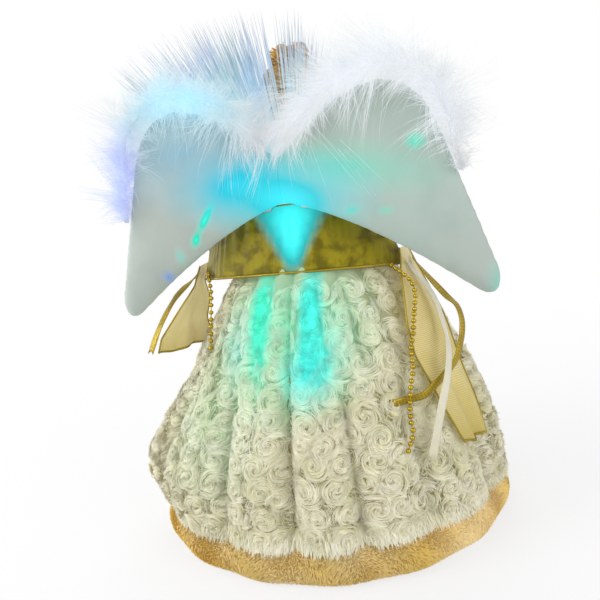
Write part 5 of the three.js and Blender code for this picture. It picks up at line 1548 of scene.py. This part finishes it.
def make_locks():
    """Locks combed up to the bun, wound round it and laid over its top."""
    t = np.linspace(0, 1, LOCK_STEPS)
    turn = chance.random(LOCKS) * TURN
    begin = chance.uniform(0.0, 0.35, LOCKS)
    share = begin[:, None] + (1 - begin)[:, None] * t
    sway = turn[:, None] + chance.normal(0, 0.12, LOCKS)[:, None] * np.sin(t * 3)
    sway = sway + 0.25 * t * np.cos(turn)[:, None]
    swell = np.sin(math.pi * np.clip(t * 0.9 + 0.1, 0, 1))
    combed = cap_point(sway, share, 0.15 + 0.75 * swell * chance.uniform(0.3, 1.2, LOCKS)[:, None])
    height = chance.uniform(0.5, 11.6, BUN_LOCKS)
    sweep = chance.uniform(1.2, 2.4, BUN_LOCKS)
    angle = (chance.random(BUN_LOCKS) * TURN)[:, None] + sweep[:, None] * t
    level = np.clip(height[:, None] + 1.32 * np.sin(angle * 0.5 + 1), 0.3, 12.0)
    around = smooth_columns(BUN, level)[0] + chance.uniform(0.0, 0.7, BUN_LOCKS)[:, None]
    wound = oval_point(around, around, angle, BUN_Z + level, BUN_Y)
    ring = np.sqrt(chance.random(CROWN_LOCKS)) * 8.5
    angle = (chance.random(CROWN_LOCKS) * TURN)[:, None] + 2.0 * t
    around = np.maximum(ring[:, None] * (1 - 0.25 * t), 0.2)
    crown = oval_point(around, around, angle, CROWN_Z - 0.03 * around ** 2 + 0.2 * np.sin(angle * 3), BUN_Y)
    paths = np.concatenate([combed, wound, crown])
    hair_strands("hair_locks", paths, 0.42, 0.12, 0.8, 3, chance.uniform(0.0, 1.1, len(paths)))


def make_curls():
    """Small ringlets pinned over the bun and the crown."""
    t = np.linspace(0, 1, CURL_STEPS)
    turn = chance.random(CURLS) * TURN
    level = chance.uniform(-4.0, 12.2, CURLS)
    around = np.interp(level, BUN[:, 0], BUN[:, 1], left=9.5)
    around = around * np.sqrt(chance.uniform(0.75, 1.0, CURLS)) + 0.4
    seat = oval_point(around, around, turn, BUN_Z + level, BUN_Y)
    out = unit(oval_point(1.0, 1.0, turn, np.clip((level - 9) / 3, 0, 1)))
    side = unit(np.cross(out, [0.0, 0.0, 1.0]))
    tilt = (chance.random(CURLS) * math.pi)[:, None]
    axis = side * np.cos(tilt) + np.cross(side, out) * np.sin(tilt)
    flat = np.cross(out, axis)
    wind = (TURN * chance.uniform(1.6, 2.6, CURLS))[:, None] * t + chance.random(CURLS)[:, None] * 6
    wind = wind[..., None]
    wide = (chance.uniform(1.2, 2.2, CURLS)[:, None] * (0.5 + 0.5 * np.sin(math.pi * t)))[..., None]
    long = (chance.uniform(4, 8, CURLS)[:, None] * (t - 0.5))[..., None]
    paths = seat[:, None] + axis[:, None] * long
    paths = paths + wide * (out[:, None] * np.cos(wind) + flat[:, None] * np.sin(wind))
    paths[..., 2] = np.minimum(paths[..., 2], HAIR_MOST_Z)
    hair_strands("hair_curls", paths, 0.62, 0.1, 0.85, 4, chance.uniform(0.2, 1.1, CURLS))


def bodice_point(u, v):
    turn = TURN * u
    height = 1 + BODICE_H * v
    half, deep = smooth_columns(TORSO, height)
    tuck = 1.9 + 0.25 * np.cos(26 * turn) * (1 - v)
    dip = 2.2 * v * np.clip(-np.sin(turn), 0, 1) ** 4
    return oval_point(half + tuck, deep + tuck, turn, TORSO_Z + height - dip, BODY_Y)


def make_body():
    torso = section_form(TORSO, 64, 48, BODY_Y, TORSO_Z)
    finished(torso, "doll_torso", skin_vinyl, "base", "skin", "torso")
    bodice = laid_sheet(130, 26, bodice_point, middle=(0, BODY_Y, TORSO_Z + 13), around=True, thick=1.2)
    finished(bodice, "bodice_satin", ivory_satin, "base", "satin", "bodice")
    share = np.linspace(0, 1, 97)
    for name, v, size in (("bodice_trim_top", 1.0, 0.9), ("bodice_trim_waist", 0.06, 1.1)):
        finished(bent_bar(bodice_point(share, v), size, 8), name, gold_cord, "base", "satin")


def make_arm(side):
    shoulder = np.array([SHOULDER_X, BODY_Y, SHOULDER_Z])
    path = route((np.array(ARM_LINE) + shoulder) * [SIDES[side], 1, 1], ARM_STEPS)
    last = ARM_STEPS - 1
    arm = bent_bar(path, np.linspace(ARM_R, WRIST_R, ARM_STEPS), 18)
    finished(arm, f"doll_arm_{side}", skin_vinyl, f"arm_{side}", "skin", f"arm_{side}")
    along, normal, other = transport(path)

    def sleeve_point(u, v):
        step = (0.35 + 0.58 * v) * last
        seat, up, out = (rows_at(line, step) for line in (path, normal, other))
        turn = TURN * u
        r = ARM_R - (ARM_R - WRIST_R) * step / last + 1.4
        r = r + 8 * v ** 1.6 + (0.2 + 1.1 * v) * np.cos(8 * turn + 2 * v)
        return seat + r[:, None] * (up * np.cos(turn)[:, None] + out * np.sin(turn)[:, None])

    sleeve = laid_sheet(112, 40, sleeve_point, middle=tuple(path[38]), around=True, thick=0.8)
    finished(sleeve, f"bell_sleeve_{side}", ivory_satin, f"arm_{side}", "satin", f"sleeve_{side}")
    cuff = bent_bar(sleeve_point(np.linspace(0, 1, 81), np.ones(81)), 0.9, 8)
    finished(cuff, f"sleeve_cuff_{side}", gold_cord, f"arm_{side}", "satin")
    make_hand(side, path[-1], along[-1])


def make_hand(side, wrist, onward):
    across = unit(np.cross(onward, [0.0, 0.0, 1.0]))
    inward = np.cross(across, onward)
    t = np.linspace(0, 1, len(PALM_RADII))[:, None]
    pieces = []
    for shift in (-1.7, 0.0, 1.7):
        palm = wrist + onward * (0.3 + 9.5 * t) + across * shift * np.minimum(1, 0.4 + t)
        pieces.append(bent_bar(palm, PALM_RADII, 12))
    for k, reach in enumerate(FINGER_REACH):
        shift = -3.0 + 2.0 * k
        finger = wrist + onward * (8.5 + reach * t) + across * shift * (1 + 0.15 * t) - inward * 1.6 * t ** 2
        pieces.append(bent_bar(finger, np.linspace(1.25, 0.85, len(t)), 10))
    thumb = wrist + onward * (3.5 + 6.5 * t) - across * SIDES[side] * (2.5 + 3.2 * t) + inward * 0.8 * t
    pieces.append(bent_bar(thumb, np.linspace(1.5, 1.0, len(t)), 10))
    hand = joined(*pieces)
    apply_modifier(hand, "REMESH", mode="VOXEL", voxel_size=0.45 * MM)
    apply_modifier(hand, "SMOOTH", factor=0.5, iterations=6)
    smooth(hand)
    finished(hand, f"doll_hand_{side}", skin_vinyl, f"arm_{side}", "skin", f"hand_{side}")


make_head()
make_hair()
make_locks()
make_curls()
make_body()
for side in SIDES:
    make_arm(side)


# Floor, backdrop light and lamps
WHITE = (1, 1, 1, 1)
FLOOR_TONE = (0.86, 0.86, 0.86, 1)
SKY_TONE = (0.4, 0.41, 0.42, 1)
FLOOR_SIZE = 6.0
FLOOR_Z = -0.0004
LAMP_AIM = Vector((0, 0, 0.14))
# Place, size and power
LAMPS = {
    "key_lamp": ((0.78, 0.6, 0.82), 0.6, 6.6),
    "fill_lamp": ((-0.9, 0.55, 0.5), 0.8, 4.4),
    "front_lamp": ((0.1, -1.0, 0.7), 0.8, 5.0),
    "left_rim": ((1.0, -0.15, 0.3), 0.7, 3.2),
}


def plain_rays(tree):
    """1 for rays of the camera, of reflections and of clear pieces, which all see the white backdrop."""
    rays = add_node(tree, "LightPath").outputs
    straight = maths(tree, "MAXIMUM", rays["Is Camera Ray"], rays["Is Transmission Ray"])
    return maths(tree, "MAXIMUM", straight, rays["Is Glossy Ray"])


def make_floor():
    """A floor as white as the backdrop, with a soft shadow near the part."""
    start_fresh()
    bpy.ops.mesh.primitive_plane_add(size=FLOOR_SIZE, location=(0, 0, FLOOR_Z))
    floor = bpy.context.object
    floor.name = "floor"
    pale, tree, surface = new_finish("pale_floor", Roughness=0.9, Base_Color=FLOOR_TONE)
    glow = add_node(tree, "Emission", {"Color": WHITE, "Strength": 1.0})
    near = place_group(tree, LAMP_GLOW, Vector=object_place(tree), Reach=(0.55, 0.55, 1.0), Falloff=0.8)
    share = maths(tree, "SUBTRACT", 1.0, maths(tree, "MULTIPLY", near["Mask"], 0.3))
    share = maths(tree, "MULTIPLY", plain_rays(tree), share)
    blend = add_node(tree, "MixShader", {0: share, 1: surface.outputs[0], 2: glow.outputs[0]})
    feed(tree, tree.nodes["Material Output"].inputs["Surface"], blend.outputs[0])
    floor.data.materials.append(pale)


def make_backdrop():
    world = bpy.data.worlds.new("studio")
    bpy.context.scene.world = world
    world.use_nodes = True
    sky = world.node_tree
    feed(sky, sky.nodes["Background"].inputs["Color"], mixed(sky, plain_rays(sky), SKY_TONE, WHITE))


def make_lamp(name, place, size, power):
    data = bpy.data.lights.new(name, "AREA")
    data.size = size
    data.energy = power
    lamp = bpy.data.objects.new(name, data)
    bpy.context.collection.objects.link(lamp)
    aim = LAMP_AIM - Vector(place)
    lamp.matrix_world = Matrix.Translation(place) @ aim.to_track_quat("-Z", "Y").to_matrix().to_4x4()


make_floor()
make_backdrop()
for name, lamp in LAMPS.items():
    make_lamp(name, *lamp)
bpy.context.scene.view_settings.view_transform = "Standard"
